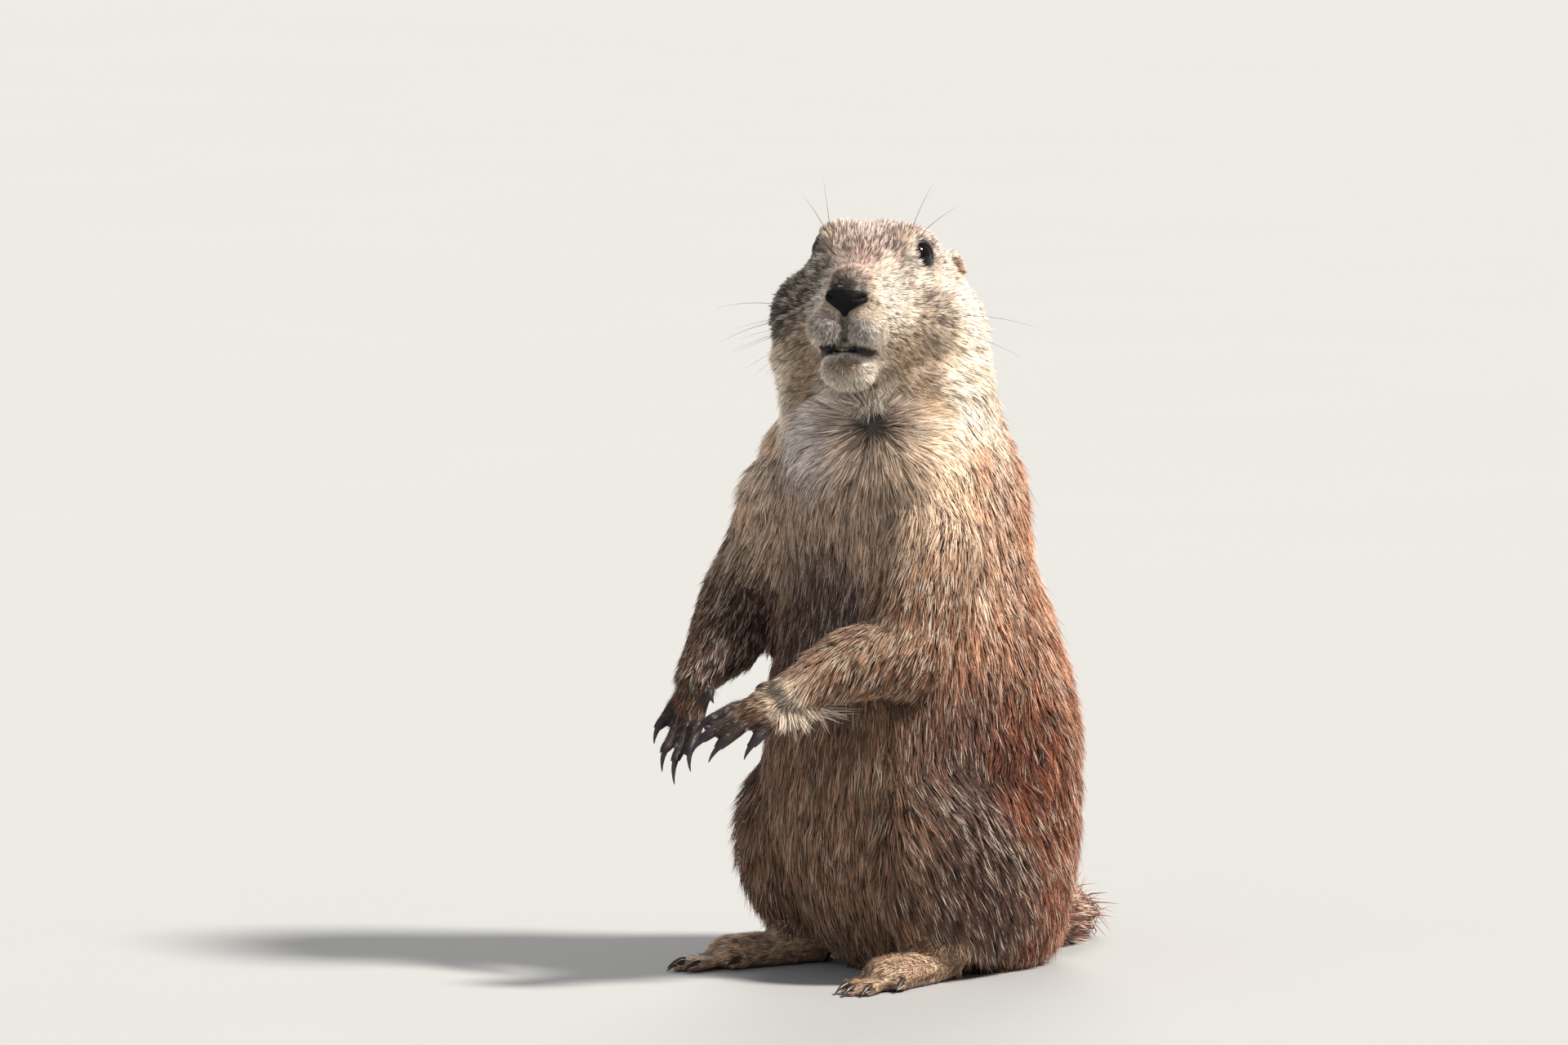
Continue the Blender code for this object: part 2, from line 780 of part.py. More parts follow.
def brush_region(bm, grow):
    turn = turned(TAIL_BEND, "Z")
    centre = mm(*BRUSH_CUT) + turn @ mm(-45 + grow / 2, 0, 0)
    add_box(bm, centre, (45 + grow / 2, 40, 25), turn)


def nose_region(bm, grow):
    place, radii = NOSE_CUT
    add_ball(bm, place, radii, head_frame(), grow=grow)


def ear_region(side):
    def add(bm, grow):
        add_ball(bm, mirrored(EAR_CUT[0], side), EAR_CUT[1], head_frame(), detail=2, grow=grow)
    return add


def parted(body):
    """Takes the named pieces out of the body one after another. What is left is the torso."""
    pieces = [taken(body, "nose", nose_region)]
    for name, side in SIDES.items():
        pieces.append(taken(body, "ear_" + name, ear_region(side)))
    pieces.append(taken(body, "head", head_region))
    pieces.append(taken(body, "neck", neck_region))
    for name, side in SIDES.items():
        pieces.append(taken(body, "hand_" + name, hand_region(name)))
        pieces.append(taken(body, "forearm_" + name, forearm_region(name)))
        pieces.append(taken(body, "upper_arm_" + name, upper_arm_region(name)))
        pieces.append(taken(body, "foot_" + name, foot_region(side)))
        pieces.append(taken(body, "haunch_" + name, haunch_region(side)))
    tail = taken(body, "tail_root", tail_region)
    add_brush(tail)
    pieces.append(taken(tail, "tail_brush", brush_region))
    pieces.append(largest_only(tail))
    body.name = "torso"
    pieces.append(largest_only(body))
    return pieces


def add_claws(pieces):
    """Makes the claws and the pits that they stand in."""
    by_name = {piece.name: piece for piece in pieces}
    claws = []
    for name, holder, *shape in claw_rows():
        claws.append(made(name, lambda bm: add_claw(bm, *shape)))
        combined(
            by_name[holder], made("pit", lambda bm: add_claw(bm, *shape, grow=GAP / MM)),
            "DIFFERENCE",
        )
    for piece in pieces:
        largest_only(piece)
    return claws


def centred(items):
    """Moves everything so that the origin is under the middle of the model's box."""
    corners = [v.co for item in items for v in item.data.vertices]
    middle = Vector((
        (min(c.x for c in corners) + max(c.x for c in corners)) / 2,
        (min(c.y for c in corners) + max(c.y for c in corners)) / 2,
        min(c.z for c in corners),
    ))
    for item in items:
        item.data.transform(Matrix.Translation(-middle))
    return -middle


def add_lock(bm, root, way, side, length, width, thickness):
    """One flat lock of hair, drawn out to a point."""
    over = way.cross(side).normalized()
    rings = []
    for reach, share in ((0.0, 0.75), (0.45, 1.0)):
        centre = root + way * length * reach
        half, thick = side * width * share / 2, over * thickness * share / 2
        rings.append([bm.verts.new(centre + c) for c in (half, thick, -half, -thick)])
    tip = bm.verts.new(root + way * length)
    base, middle = rings
    bm.faces.new(base)
    for i in range(4):
        j = (i + 1) % 4
        bm.faces.new((base[i], base[j], middle[j], middle[i]))
        bm.faces.new((middle[i], middle[j], tip))


def brush_locks():
    """The places of the locks on the tail's end, from its path: root, direction and side."""
    draw = random.Random(7)
    rows = spline([(*p, r) for p, r in zip(TAIL_PATH, TAIL_RADII)], 8)
    found = []
    for level in range(BRUSH_LEVELS):
        share = 0.42 + 0.56 * level / (BRUSH_LEVELS - 1)
        i = min(round(share * (len(rows) - 1)), len(rows) - 2)
        here, radius = mm(*rows[i][:3]), rows[i][3] * MM
        tangent = (mm(*rows[i + 1][:3]) - here).normalized()
        side = UP.cross(tangent).normalized()
        for k in range(BRUSH_LOCKS):
            angle = math.radians(-20 + 220 * (k + 0.5 * (level % 2)) / BRUSH_LOCKS)
            out = side * math.cos(angle) + UP * math.sin(angle)
            way = (tangent + out * draw.uniform(0.03, 0.14)).normalized()
            across = way.cross(out).normalized()
            root = here + out * radius * 0.8 - tangent * 4 * MM
            length = draw.uniform(20, 26) * MM
            found.append((root, way, across, length, draw.uniform(6, 8) * MM, 3.0 * MM))
    return found


def add_brush(tail):
    """Joins the brush of hair to the end of the tail, level with the floor."""
    for lock in brush_locks():
        combined(tail, made("lock", lambda bm: add_lock(bm, *lock)), "UNION")
    return largest_only(on_floor(tail))


def clear_scene():
    for item in list(bpy.data.objects):
        bpy.data.objects.remove(item)


clear_scene()
whole = on_floor(thinned(make_whole()))
print("whole body:", triangle_count(whole.data), "triangles")
add_ears(whole)
open_mouth(whole)
eyes = open_eyes(whole)
largest_only(whole)
pieces = parted(whole)
claws = add_claws(pieces)
everything = pieces + eyes + claws
SHIFT = centred(everything)
for item in everything:
    print(f"{item.name}: {triangle_count(item.data)} triangles")
print("moved by", [round(c / MM, 2) for c in SHIFT], "mm")
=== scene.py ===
# %% [markdown]
# # A prairie dog sitting up, as a life-size museum model
#
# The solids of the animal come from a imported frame, in metres, with the floor at z = 0. This
# lesson dresses them: one skin that follows the solids without a seam, a coat of thin tufts that
# follows the lie of the hair, glossy eyes in their lids, a bare nose, bare fingers and claws.
# The animal's own colours are worked out once, as soft masks, and both the skin and the coat use
# them, so that the markings go right through the coat as they do on a real animal.

import math

import bmesh
import bpy
import numpy as np
from mathutils import Matrix, Vector, noise
from mathutils.bvhtree import BVHTree
from mathutils.kdtree import KDTree


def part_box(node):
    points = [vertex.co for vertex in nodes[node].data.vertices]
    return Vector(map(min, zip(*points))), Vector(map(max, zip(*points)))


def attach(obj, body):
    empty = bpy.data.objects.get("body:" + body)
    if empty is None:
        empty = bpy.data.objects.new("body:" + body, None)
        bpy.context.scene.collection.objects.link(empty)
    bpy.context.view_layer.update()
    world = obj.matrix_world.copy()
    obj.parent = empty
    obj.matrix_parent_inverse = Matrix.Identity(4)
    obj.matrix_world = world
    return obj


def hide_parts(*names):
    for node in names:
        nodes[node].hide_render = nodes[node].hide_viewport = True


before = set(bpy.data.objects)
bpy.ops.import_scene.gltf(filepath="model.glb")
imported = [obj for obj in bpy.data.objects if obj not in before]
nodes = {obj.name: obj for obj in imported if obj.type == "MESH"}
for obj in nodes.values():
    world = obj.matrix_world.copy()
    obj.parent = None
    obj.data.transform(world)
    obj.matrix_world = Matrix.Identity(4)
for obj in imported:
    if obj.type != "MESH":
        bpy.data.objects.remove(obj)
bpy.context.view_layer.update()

# %% [markdown]
# ## Where things are
#
# The head has a frame of its own, with the nose towards -Y, the left ear towards +X and the
# origin between the ears, because eyes, nose, lips and markings are easy to place there. It could
# be set up from fixed numbers alone, but the body may be moved as a whole, so the two eyeballs,
# which are known in both frames, say where it is. Small lengths are written in millimetres.

# %% Units and the two frames
MM = 0.001
UP = Vector((0, 0, 1))
SIDES = {"left": 1, "right": -1}
HEAD_TURN = 33
HEAD_LIFT = 12
HEAD_TILT = 2
HEAD_PLACE = (2.2, -14, 246.5)
EYE_PLACE = (15.9, -11.6, 7.6)
EYE_GAZE = (0.83, -0.54, 0.12)
EYE_RADIUS = 5.8


def mm(x, y, z):
    """A point or a way in metres, from millimetres."""
    return Vector((x, y, z)) * MM


def middle(node):
    """The middle of a node's box."""
    low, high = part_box(node)
    return (low + high) / 2


def turned(degrees, axis):
    return Matrix.Rotation(math.radians(degrees), 3, axis)


def mirrored(place, side):
    x, y, z = place
    return (x * side, y, z)


head_turn = turned(HEAD_TURN, "Z") @ turned(-HEAD_LIFT, "X") @ turned(HEAD_TILT, "Y")
between_eyes = (middle("eye_left") + middle("eye_right")) / 2
head_origin = between_eyes - head_turn @ mm(0, *EYE_PLACE[1:])
body_origin = head_origin - mm(*HEAD_PLACE)


def on_head(x, y, z):
    """A point of the head's frame, in millimetres, as a point of the model in metres."""
    return head_origin + head_turn @ mm(x, y, z)


def on_body(x, y, z):
    """A point measured from the pelvis, in millimetres, as a point of the model in metres."""
    return body_origin + mm(x, y, z)


def head_mm(points):
    """Model points, one a row, in the head's frame and in millimetres."""
    return (points - np.array(head_origin)) @ np.array(head_turn) / MM


def body_mm(points):
    """Model points, one a row, measured from the pelvis in millimetres."""
    return (points - np.array(body_origin)) / MM


print("the head's origin is at", [round(c / MM, 1) for c in head_origin], "mm")

# %% [markdown]
# ## Soft steps and masks
#
# Markings, coat lengths and folds all fade from one value to another. Each is a mask from 0 to 1
# that is worked out at many points at once: a soft step along a number, a soft ball round a place,
# or a soft rod along a line. Painting by hand would give a picture that nobody could change, and
# these stay readable as places and sizes.

# %% Masks worked out on arrays of points
# The way across the photograph's view, from its left to its right.
ACROSS_VIEW = np.array((0.67, 0.74, 0))


def step(values, start, end):
    """0 before start, 1 after end, and a smooth rise between them."""
    share = np.clip((values - start) / (end - start), 0, 1)
    return share * share * (3 - 2 * share)


def ball(points, centre, radii, core):
    """1 in the core of an ellipsoid, fading to 0 at its surface."""
    reach = np.linalg.norm((points - np.array(centre)) / np.array(radii), axis=1)
    return 1 - step(reach, core, 1.0)


def rod(points, start, end, radius, core):
    """1 along a straight line, fading to 0 at the radius. core is a share of the radius."""
    start, end = np.array(start, float), np.array(end, float)
    span = end - start
    share = np.clip((points - start) @ span / (span @ span), 0, 1)
    reach = np.linalg.norm(points - start - share[:, None] * span, axis=1)
    return 1 - step(reach, core * radius, radius)


def paired(mask, points, *shape):
    """A mask on both sides of the head or the body."""
    flipped = points * np.array((-1, 1, 1))
    return np.maximum(mask(points, *shape), mask(flipped, *shape))


def unit(ways):
    return ways / np.maximum(np.linalg.norm(ways, axis=1), 1e-9)[:, None]


def laid(ways, normals):
    """The ways turned to lie along a surface with these normals."""
    return unit(ways - normals * np.sum(ways * normals, axis=1)[:, None])


def mixed(first, second, share):
    """Two arrays of rows, or one row, blended by a share for each point."""
    share = np.asarray(share)[:, None]
    return np.asarray(first) * (1 - share) + np.asarray(second) * share


print("half way up a soft step:", float(step(np.array([0.5]), 0, 1)[0]))

# %% [markdown]
# ## One skin from the parted body
#
# A real skin runs unbroken from nose to tail, while the frame's body is parted by thin cuts. Its
# pieces are fattened by a little until they meet, and a voxel remesh draws one surface round them
# all. A Boolean union would keep every crease of the cuts, and a body sculpted anew would drift
# away from the frame. The end of the tail is bone and skin inside a brush of long hair, so there
# the skin is a thin core and not the brush's own solid. The eye sockets are filled for now.

# %% Rings, tubes and objects
def ring(bm, centre, across, over, sides):
    """A round or oval loop of edges. across and over are its two half axes."""
    made = bmesh.ops.create_circle(bm, segments=sides, radius=1.0)["verts"]
    for v in made:
        v.co = centre + across * v.co.x + over * v.co.y
    return list({e for v in made for e in v.link_edges})


def curve_through(points, steps):
    """A smooth run of points through the given ones, steps to each span."""
    points = [Vector(p) for p in points]
    padded = [points[0]] + points + [points[-1]]
    found = []
    for a, b, c, d in zip(padded, padded[1:], padded[2:], padded[3:]):
        for k in range(steps):
            t = k / steps
            found.append(0.5 * (2 * b + (c - a) * t + (2 * a - 5 * b + 4 * c - d) * t**2
                                + (3 * b - a - 3 * c + d) * t**3))
    return found + [points[-1]]


def tube(bm, points, radii, sides=12, up=UP, closed=False):
    """A tube of changing radius along the points. closed joins its two ends."""
    loops = []
    count = len(points)
    for i, (point, radius) in enumerate(zip(points, radii)):
        ahead = points[(i + 1) % count] if closed else points[min(i + 1, count - 1)]
        behind = points[i - 1] if closed or i else points[0]
        way = (ahead - behind).normalized()
        across = up.cross(way).normalized()
        loops.append(ring(bm, point, across * radius, way.cross(across) * radius, sides))
    for first, second in zip(loops, loops[1:] + loops[:1] if closed else loops[1:]):
        bmesh.ops.bridge_loops(bm, edges=first + second)
    if not closed:
        for end in (loops[0], loops[-1]):
            bmesh.ops.contextual_create(bm, geom=end)


def linked(name, data):
    """A new object of the scene, for a mesh, a light or a camera."""
    item = bpy.data.objects.new(name, data)
    bpy.context.scene.collection.objects.link(item)
    return item


def placed(bm, name):
    """A smooth scene object from a bmesh, with its faces pointing outwards."""
    bmesh.ops.recalc_face_normals(bm, faces=bm.faces[:])
    mesh = bpy.data.meshes.new(name)
    bm.to_mesh(mesh)
    bm.free()
    mesh.shade_smooth()
    return linked(name, mesh)


def applied(piece):
    """Replaces a piece's mesh by what its modifiers make of it."""
    graph = bpy.context.evaluated_depsgraph_get()
    mesh = bpy.data.meshes.new_from_object(piece.evaluated_get(graph))
    piece.modifiers.clear()
    old, piece.data = piece.data, mesh
    bpy.data.meshes.remove(old)
    return piece


# %% Fatten the nodes of flesh and draw one surface round them
FATTEN = 0.3 * MM
SKIN_VOXEL = 0.75 * MM
SOCKET_FILL = 0.45
PAIRED_FLESH = ("ear", "upper_arm", "forearm", "hand", "haunch", "foot")
FLESH = ["head", "neck", "torso", "tail_root"]
FLESH += [f"{part}_{side}" for part in PAIRED_FLESH for side in SIDES]
UNDER_THE_SKIN = FLESH + ["nose"]
TAIL_PATH = ((0, 50, 15), (-4, 72, 12), (-14, 92, 9), (-34, 110, 8), (-58, 118, 7), (-66, 118, 7))
TAIL_CORE = (9, 7.5, 5.5, 4.5, 3.0, 1.5)


def merged_copy(node):
    """A bmesh of one node of the frame, with its loose triangles joined."""
    bm = bmesh.new()
    bm.from_mesh(nodes[node].data)
    bmesh.ops.remove_doubles(bm, verts=bm.verts[:], dist=0.001 * MM)
    bm.normal_update()
    return bm


def pour(source, target):
    """Adds one bmesh to another and frees it."""
    mesh = bpy.data.meshes.new("poured")
    source.to_mesh(mesh)
    source.free()
    target.from_mesh(mesh)
    bpy.data.meshes.remove(mesh)


def add_ball(bm, centre, radius):
    """A ball that is turned like the head. Its centre is in metres, its radius in millimetres."""
    size = Matrix.Diagonal(mm(radius, radius, radius)).to_4x4()
    shape = Matrix.Translation(centre) @ head_turn.to_4x4() @ size
    bmesh.ops.create_icosphere(bm, subdivisions=3, radius=1.0, matrix=shape)


def joined_flesh():
    flesh = bmesh.new()
    for node in UNDER_THE_SKIN:
        bm = merged_copy(node)
        for v in bm.verts:
            v.co += v.normal * FATTEN
        pour(bm, flesh)
    for side in SIDES:
        add_ball(flesh, middle("eye_" + side), EYE_RADIUS + SOCKET_FILL)
    radius_rows = curve_through([(r, 0, 0) for r in TAIL_CORE], 4)
    tube(flesh, curve_through([on_body(*p) for p in TAIL_PATH], 4), [r.x * MM for r in radius_rows])
    return placed(flesh, "skin")


skin = joined_flesh()
remesh = skin.modifiers.new("one surface", "REMESH")
remesh.mode = "VOXEL"
remesh.voxel_size = SKIN_VOXEL
soften = skin.modifiers.new("soften", "SMOOTH")
soften.factor = 0.5
soften.iterations = 5
applied(skin)
print("remeshed:", len(skin.data.vertices), "vertices")

# %% [markdown]
# ## Fewer triangles, and the skin as arrays
#
# A quarter of a million small squares are more than the skin needs. Decimate takes most of them
# from where the surface is flat, and fewer from lips, ears and fingers. From here on the skin is
# handled as arrays of points, normals and edges. A value is blended over the surface by letting
# each point take a share of its neighbours' mean, which smooths the shape as well as the masks.

# %% Thin the skin and read it as arrays
SKIN_TRIANGLES = 190000
thin = skin.modifiers.new("thin", "DECIMATE")
thin.ratio = SKIN_TRIANGLES / (2 * len(skin.data.polygons))
applied(skin)


def read(items, field, width, kind=np.float32):
    """One field of a mesh's vertices or edges, as an array with a row for each."""
    values = np.empty(len(items) * width, kind)
    items.foreach_get(field, values)
    return values.reshape(-1, width)


class Surface:
    """A mesh's points and edges as arrays."""

    def __init__(self, mesh):
        self.mesh = mesh
        self.first, self.second = read(mesh.edges, "vertices", 2, np.int32).T
        self.count = len(mesh.vertices)
        ends = np.concatenate([self.first, self.second])
        self.links = np.maximum(np.bincount(ends, minlength=self.count), 1)
        self.refresh()

    def refresh(self):
        self.points = read(self.mesh.vertices, "co", 3).astype(float)
        self.normals = read(self.mesh.vertices, "normal", 3).astype(float)

    def summed(self, rows):
        """For each point, the sum of its neighbours' rows."""
        found = np.empty((self.count, rows.shape[1]))
        for k in range(rows.shape[1]):
            found[:, k] = np.bincount(self.first, rows[self.second, k], self.count)
            found[:, k] += np.bincount(self.second, rows[self.first, k], self.count)
        return found

    def blended(self, values, rounds, share=0.5):
        """Values that have moved towards their neighbours' mean, so many times."""
        rows = values.reshape(self.count, -1)
        share = np.broadcast_to(np.reshape(share, (-1, 1)), (self.count, 1))
        for _ in range(rounds):
            rows = rows + (self.summed(rows) / self.links[:, None] - rows) * share
        return rows.reshape(values.shape)

    def move_to(self, points):
        self.mesh.vertices.foreach_set("co", points.astype(np.float32).ravel())
        self.mesh.update()
        self.refresh()


surface = Surface(skin.data)
print("thinned:", surface.count, "points,", len(skin.data.polygons), "faces")

# %% Which node each point of the skin belongs to
NODE_NAMES = [name for name in sorted(nodes) if not name.startswith(("claw", "eye"))]


def nearest_nodes(points):
    """The index in NODE_NAMES of the node whose surface is nearest to each point."""
    corners, faces, owners = [], [], []
    for index, name in enumerate(NODE_NAMES):
        mesh = nodes[name].data
        start = len(corners)
        corners += [tuple(v.co) for v in mesh.vertices]
        faces += [[start + i for i in p.vertices] for p in mesh.polygons]
        owners += [index] * len(mesh.polygons)
    tree = BVHTree.FromPolygons(corners, faces)
    return np.array([owners[tree.find_nearest(p)[2]] for p in points.tolist()])


owner = nearest_nodes(surface.points)


def belongs(*names):
    """1 where a point belongs to one of these nodes, and 0 elsewhere. A side may be left out."""
    chosen = [i for i, n in enumerate(NODE_NAMES) if n.startswith(names)]
    return np.isin(owner, chosen).astype(float)


is_head = belongs("head", "ear", "nose")
is_fine = belongs("head", "ear", "nose", "hand", "foot")
smoothing = surface.blended(0.5 - 0.42 * is_fine, 6)
surface.move_to(surface.blended(surface.points, 16, smoothing))
at_head = head_mm(surface.points)
at_body = body_mm(surface.points)
print("points on the head:", int(is_head.sum()))

# %% [markdown]
# ## The lie, the length and the depth of the coat
#
# Hair leaves the nose and runs back over the head, down the neck and the body, along each limb and
# out to the end of the tail. High on the chest it spreads from a whorl. Each node is given its own
# way for the hair, and blending those ways over the surface joins them without a parting line.
# On the rump a slow noise ruffles it. The coat is shortest on the muzzle, the feet and the ears,
# and longest on the rump and tail. The skin lies inside the frame by the depth of the coat, so
# that the tips reach the frame's outline.

# %% Which parts are bare
# The joints of each arm, the way in which the hand's outer edge leans, and how far, in degrees, a
# finger droops from the hand.
ARMS = {
    "left": {"shoulder": (36, -19, 158), "elbow": (42, -37, 120), "wrist": (26, -75, 106),
             "knuckles": (20, -90.5, 99), "lean": (0.8, 0.1, -0.55), "droop": 9},
    "right": {"shoulder": (-31, -27, 164), "elbow": (-41, -38, 133), "wrist": (-30, -71, 108),
              "knuckles": (-29, -76.5, 94.5), "lean": (-1, -0.15, 0), "droop": -7},
}
# The thumb and each finger: place across the knuckles, start along the hand, length, splay.
FINGERS = ((-7.2, 0.3, 5, -30), (-5.8, 0.86, 18, -8), (-1.9, 1.0, 19.5, -3), (2.2, 0.94, 17, 4),
           (6.4, 0.62, 13.5, 14))
# How far from its tip each finger is bare.
FINGER_ENDS = {"left": 7.0, "right": 5.0}
MOUTH = ((-14, -26, -31.8), (-8, -35.5, -30.0), (0, -39.6, -28.4), (6, -37.2, -29.4),
         (8.4, -35, -30.0))
# Heights count for more than widths round the mouth, so that its mask is low and wide.
MOUTH_STRETCH = (1, 1, 2.6)
# The bare pad of the nose: its half width at each height, from its point up to its top.
PAD_HEIGHTS = (-17.8, -16.6, -15.0, -13.2, -11.6, -10.2, -9.0)
PAD_HALF_WIDTHS = (0.8, 1.8, 4.2, 6.8, 7.9, 7.4, 5.0)
# The lid is bare from the eyeball out to here, and has its coat again a little further out.
LID_EDGE = (1.0, 1.7)
LID_COAT = (1.2, 5.0)


def along_line(points, line, radius, core, stretch=(1, 1, 1)):
    """A mask round a line of several straight runs."""
    stretch = np.array(stretch)
    runs = zip(line, line[1:])
    return np.max([rod(points * stretch, a * stretch, b * stretch, radius, core)
                   for a, b in runs], axis=0)


def nose_shape(points):
    """1 inside the bare pad of the nose, which is a wide V seen from the front."""
    width = np.interp(points[:, 2], PAD_HEIGHTS, PAD_HALF_WIDTHS, left=-1, right=-1)
    return (1 - step(np.abs(points[:, 0]) - width, -0.5, 0.5)) * (1 - step(points[:, 1], -37, -35))


def hand_way(side):
    arm = ARMS[side]
    return (Vector(arm["knuckles"]) - Vector(arm["wrist"])).normalized()


def hand_axes(side):
    """The hand's forward and outward ways and the way out of its palm."""
    forward = hand_way(side)
    lean = Vector(ARMS[side]["lean"])
    outward = (lean - forward * forward.dot(lean)).normalized()
    return forward, outward, -(forward.cross(outward) * SIDES[side]).normalized()


def finger_lines(side):
    """The base, the middle and the tip of the thumb and of each finger."""
    forward, outward, down = hand_axes(side)
    wrist, knuckles = Vector(ARMS[side]["wrist"]), Vector(ARMS[side]["knuckles"])
    lines = []
    for across, start, length, splay in FINGERS:
        turn = math.radians(splay)
        way = forward * math.cos(turn) + outward * math.sin(turn)
        line = [wrist.lerp(knuckles, start) + outward * across]
        for bend in (1.0, 2.2):
            droop = math.radians(ARMS[side]["droop"] * bend)
            line.append(line[-1] + (way * math.cos(droop) + down * math.sin(droop)) * length / 2)
        lines.append(line)
    return lines


def bare_digits():
    """1 on the ends of the fingers and on the palms, which have no coat."""
    found = np.zeros(surface.count)
    for side in SIDES:
        palm = (surface.normals @ np.array(hand_axes(side)[2]) > 0.45).astype(float)
        reach = (at_body - np.array(ARMS[side]["wrist"])) @ np.array(hand_way(side))
        balls = [ball(at_body, line[2], [FINGER_ENDS[side]] * 3, 0.6) for line in finger_lines(side)]
        shown = np.maximum(np.max(balls, axis=0), palm * step(reach, 2, 7))
        found = np.maximum(found, belongs("hand_" + side) * shown)
    return surface.blended(found, 2)


def on_fingers():
    """1 along the fingers, where the coat is thin and dark."""
    rods = [rod(at_body, line[0].lerp(line[1], 0.7), line[2], 4.6, 0.6)
            for side in SIDES for line in finger_lines(side)[1:]]
    return np.max(rods, axis=0) * belongs("hand")


def between_fingers():
    """1 in the valleys between neighbouring fingers, above and below."""
    found = np.zeros(surface.count)
    for side in SIDES:
        down = np.array(hand_axes(side)[2])
        flat = np.identity(3) - 0.7 * np.outer(down, down)
        lines = finger_lines(side)[1:]
        for first, second in zip(lines, lines[1:]):
            path = [(np.array(a) + np.array(b)) / 2 @ flat for a, b in zip(first, second)]
            found = np.maximum(found, along_line(at_body @ flat, path, 1.7, 0.2))
    return found * belongs("hand")


mouth_gap = along_line(at_head, MOUTH, 4.6, 0.5, MOUTH_STRETCH) * is_head
lip_line = along_line(at_head, MOUTH, 6.2, 0.6, MOUTH_STRETCH) * is_head
nose_pad = nose_shape(at_head) * is_head
eye_reach = np.min([np.linalg.norm(surface.points - np.array(middle("eye_" + side)), axis=1)
                    for side in SIDES], axis=0) / MM
lids = 1 - step(eye_reach, EYE_RADIUS + LID_EDGE[0], EYE_RADIUS + LID_EDGE[1])
digits = bare_digits()
soles = belongs("foot", "torso", "haunch", "tail") * (1 - step(at_body[:, 2], 0.6, 1.6))
bare = np.maximum.reduce([mouth_gap, nose_pad, lids, digits, soles])
print("bare share of the skin:", round(float(bare.mean()), 3))

# %% The way the hair lies
WHORL = (24, -37, 199)
NOSE_SOURCE = (0, -46, -6)
CHIN_SOURCE = (0, -62, -18)
DOWN = np.array((0, 0, -1.0))
# The long pale hairs that hang from the near wrist.
FRINGE_LINE = ((29, -81, 100.5), (31.5, -75, 102))
FRINGE_WAYS = ((0.2, 0.1, -1), (0.62, 0.66, -0.5))
fringe = rod(at_body, *FRINGE_LINE, 6, 0.3) * belongs("forearm_left", "hand_left")
# The ruffled fur of the rump, on each side. Its swirls have a size in millimetres, and a seed,
# because vector noise would otherwise follow the clock and differ at each run.
ruffled = paired(ball, at_body, (46, 14, 84), (26, 32, 38), 0.3)
SWIRL_SIZE = 11
SWIRL_STRENGTH = 1.5
SWIRL_SEED = 7
# How much the hair of a forearm falls across it.
FALL = {"left": 1.2, "right": 0.3}
FOOT_SPLAY = 12


def way_between(start, end):
    return np.array((Vector(end) - Vector(start)).normalized())


def tail_ways(points):
    """The tail's own way at the place that is nearest to each point."""
    line = np.array(curve_through(TAIL_PATH, 6))
    ahead = unit(np.gradient(line, axis=0))
    nearest = np.argmin(np.linalg.norm(points[:, None] - line[None], axis=2), axis=1)
    return ahead[nearest]


def lie_of_the_coat():
    ways = np.zeros((surface.count, 3))
    on_chin = 1 - step(at_head[:, 2], -32, -26)
    source = mixed(np.tile(NOSE_SOURCE, (surface.count, 1)), CHIN_SOURCE, on_chin)
    from_nose = unit(at_head - source) @ np.array(head_turn).T
    ways += is_head[:, None] * from_nose
    outwards = at_body * np.array((1, 1, 0)) - np.array((0, -10, 0))
    down_neck = unit(DOWN + 0.35 * unit(outwards) + 0.5 * from_nose)
    from_whorl = unit(at_body - np.array(WHORL))
    chest = ball(at_body, WHORL, (44, 34, 36), 0.4)
    ways += belongs("neck")[:, None] * mixed(down_neck, from_whorl, chest)
    down = np.tile(DOWN, (surface.count, 1))
    ways += belongs("torso")[:, None] * mixed(down, from_whorl, chest)
    for side in SIDES:
        arm = ARMS[side]
        leg_way = turned(FOOT_SPLAY * SIDES[side], "Z") @ Vector((0, -1, 0))
        limbs = {
            "upper_arm_": way_between(arm["shoulder"], arm["elbow"]),
            "forearm_": unit((way_between(arm["elbow"], arm["wrist"]) + FALL[side] * DOWN)[None])[0],
            "hand_": np.array(hand_way(side)),
            "haunch_": unit(np.array([(0.1 * SIDES[side], 0.45, -1.0)]))[0],
            "foot_": np.array(leg_way),
        }
        for part, way in limbs.items():
            ways += belongs(part + side)[:, None] * way
    in_tail = belongs("tail") > 0
    ways[in_tail] = tail_ways(at_body[in_tail])
    along = step(at_body @ ACROSS_VIEW, -41, -33)
    fanned = mixed(np.tile(FRINGE_WAYS[0], (surface.count, 1)), FRINGE_WAYS[1], along)
    ways = mixed(surface.blended(ways, 8), fanned, fringe)
    noise.seed_set(SWIRL_SEED)
    swirl = np.array([noise.noise_vector(place) for place in (at_body / SWIRL_SIZE).tolist()])
    return laid(ways + SWIRL_STRENGTH * ruffled[:, None] * swirl, surface.normals)


ways = lie_of_the_coat()
print("the hair on the crown runs", np.round(ways[np.argmax(surface.points[:, 2])], 2))

# %% How long it is, and the skin pressed in by its depth
HAIR_LENGTHS = {
    "ear": 2.0, "neck": 9.5, "torso": 11.0, "upper_arm": 10.0, "forearm": 8.5, "hand": 3.8,
    "haunch": 11.5, "foot": 3.4, "tail_root": 13.0, "tail_brush": 21.0, "nose": 1.3,
}
ROUND_THE_EYE = 2.0
FINGER_LENGTH = 1.7
DEPTH_OF_LENGTH = 0.27


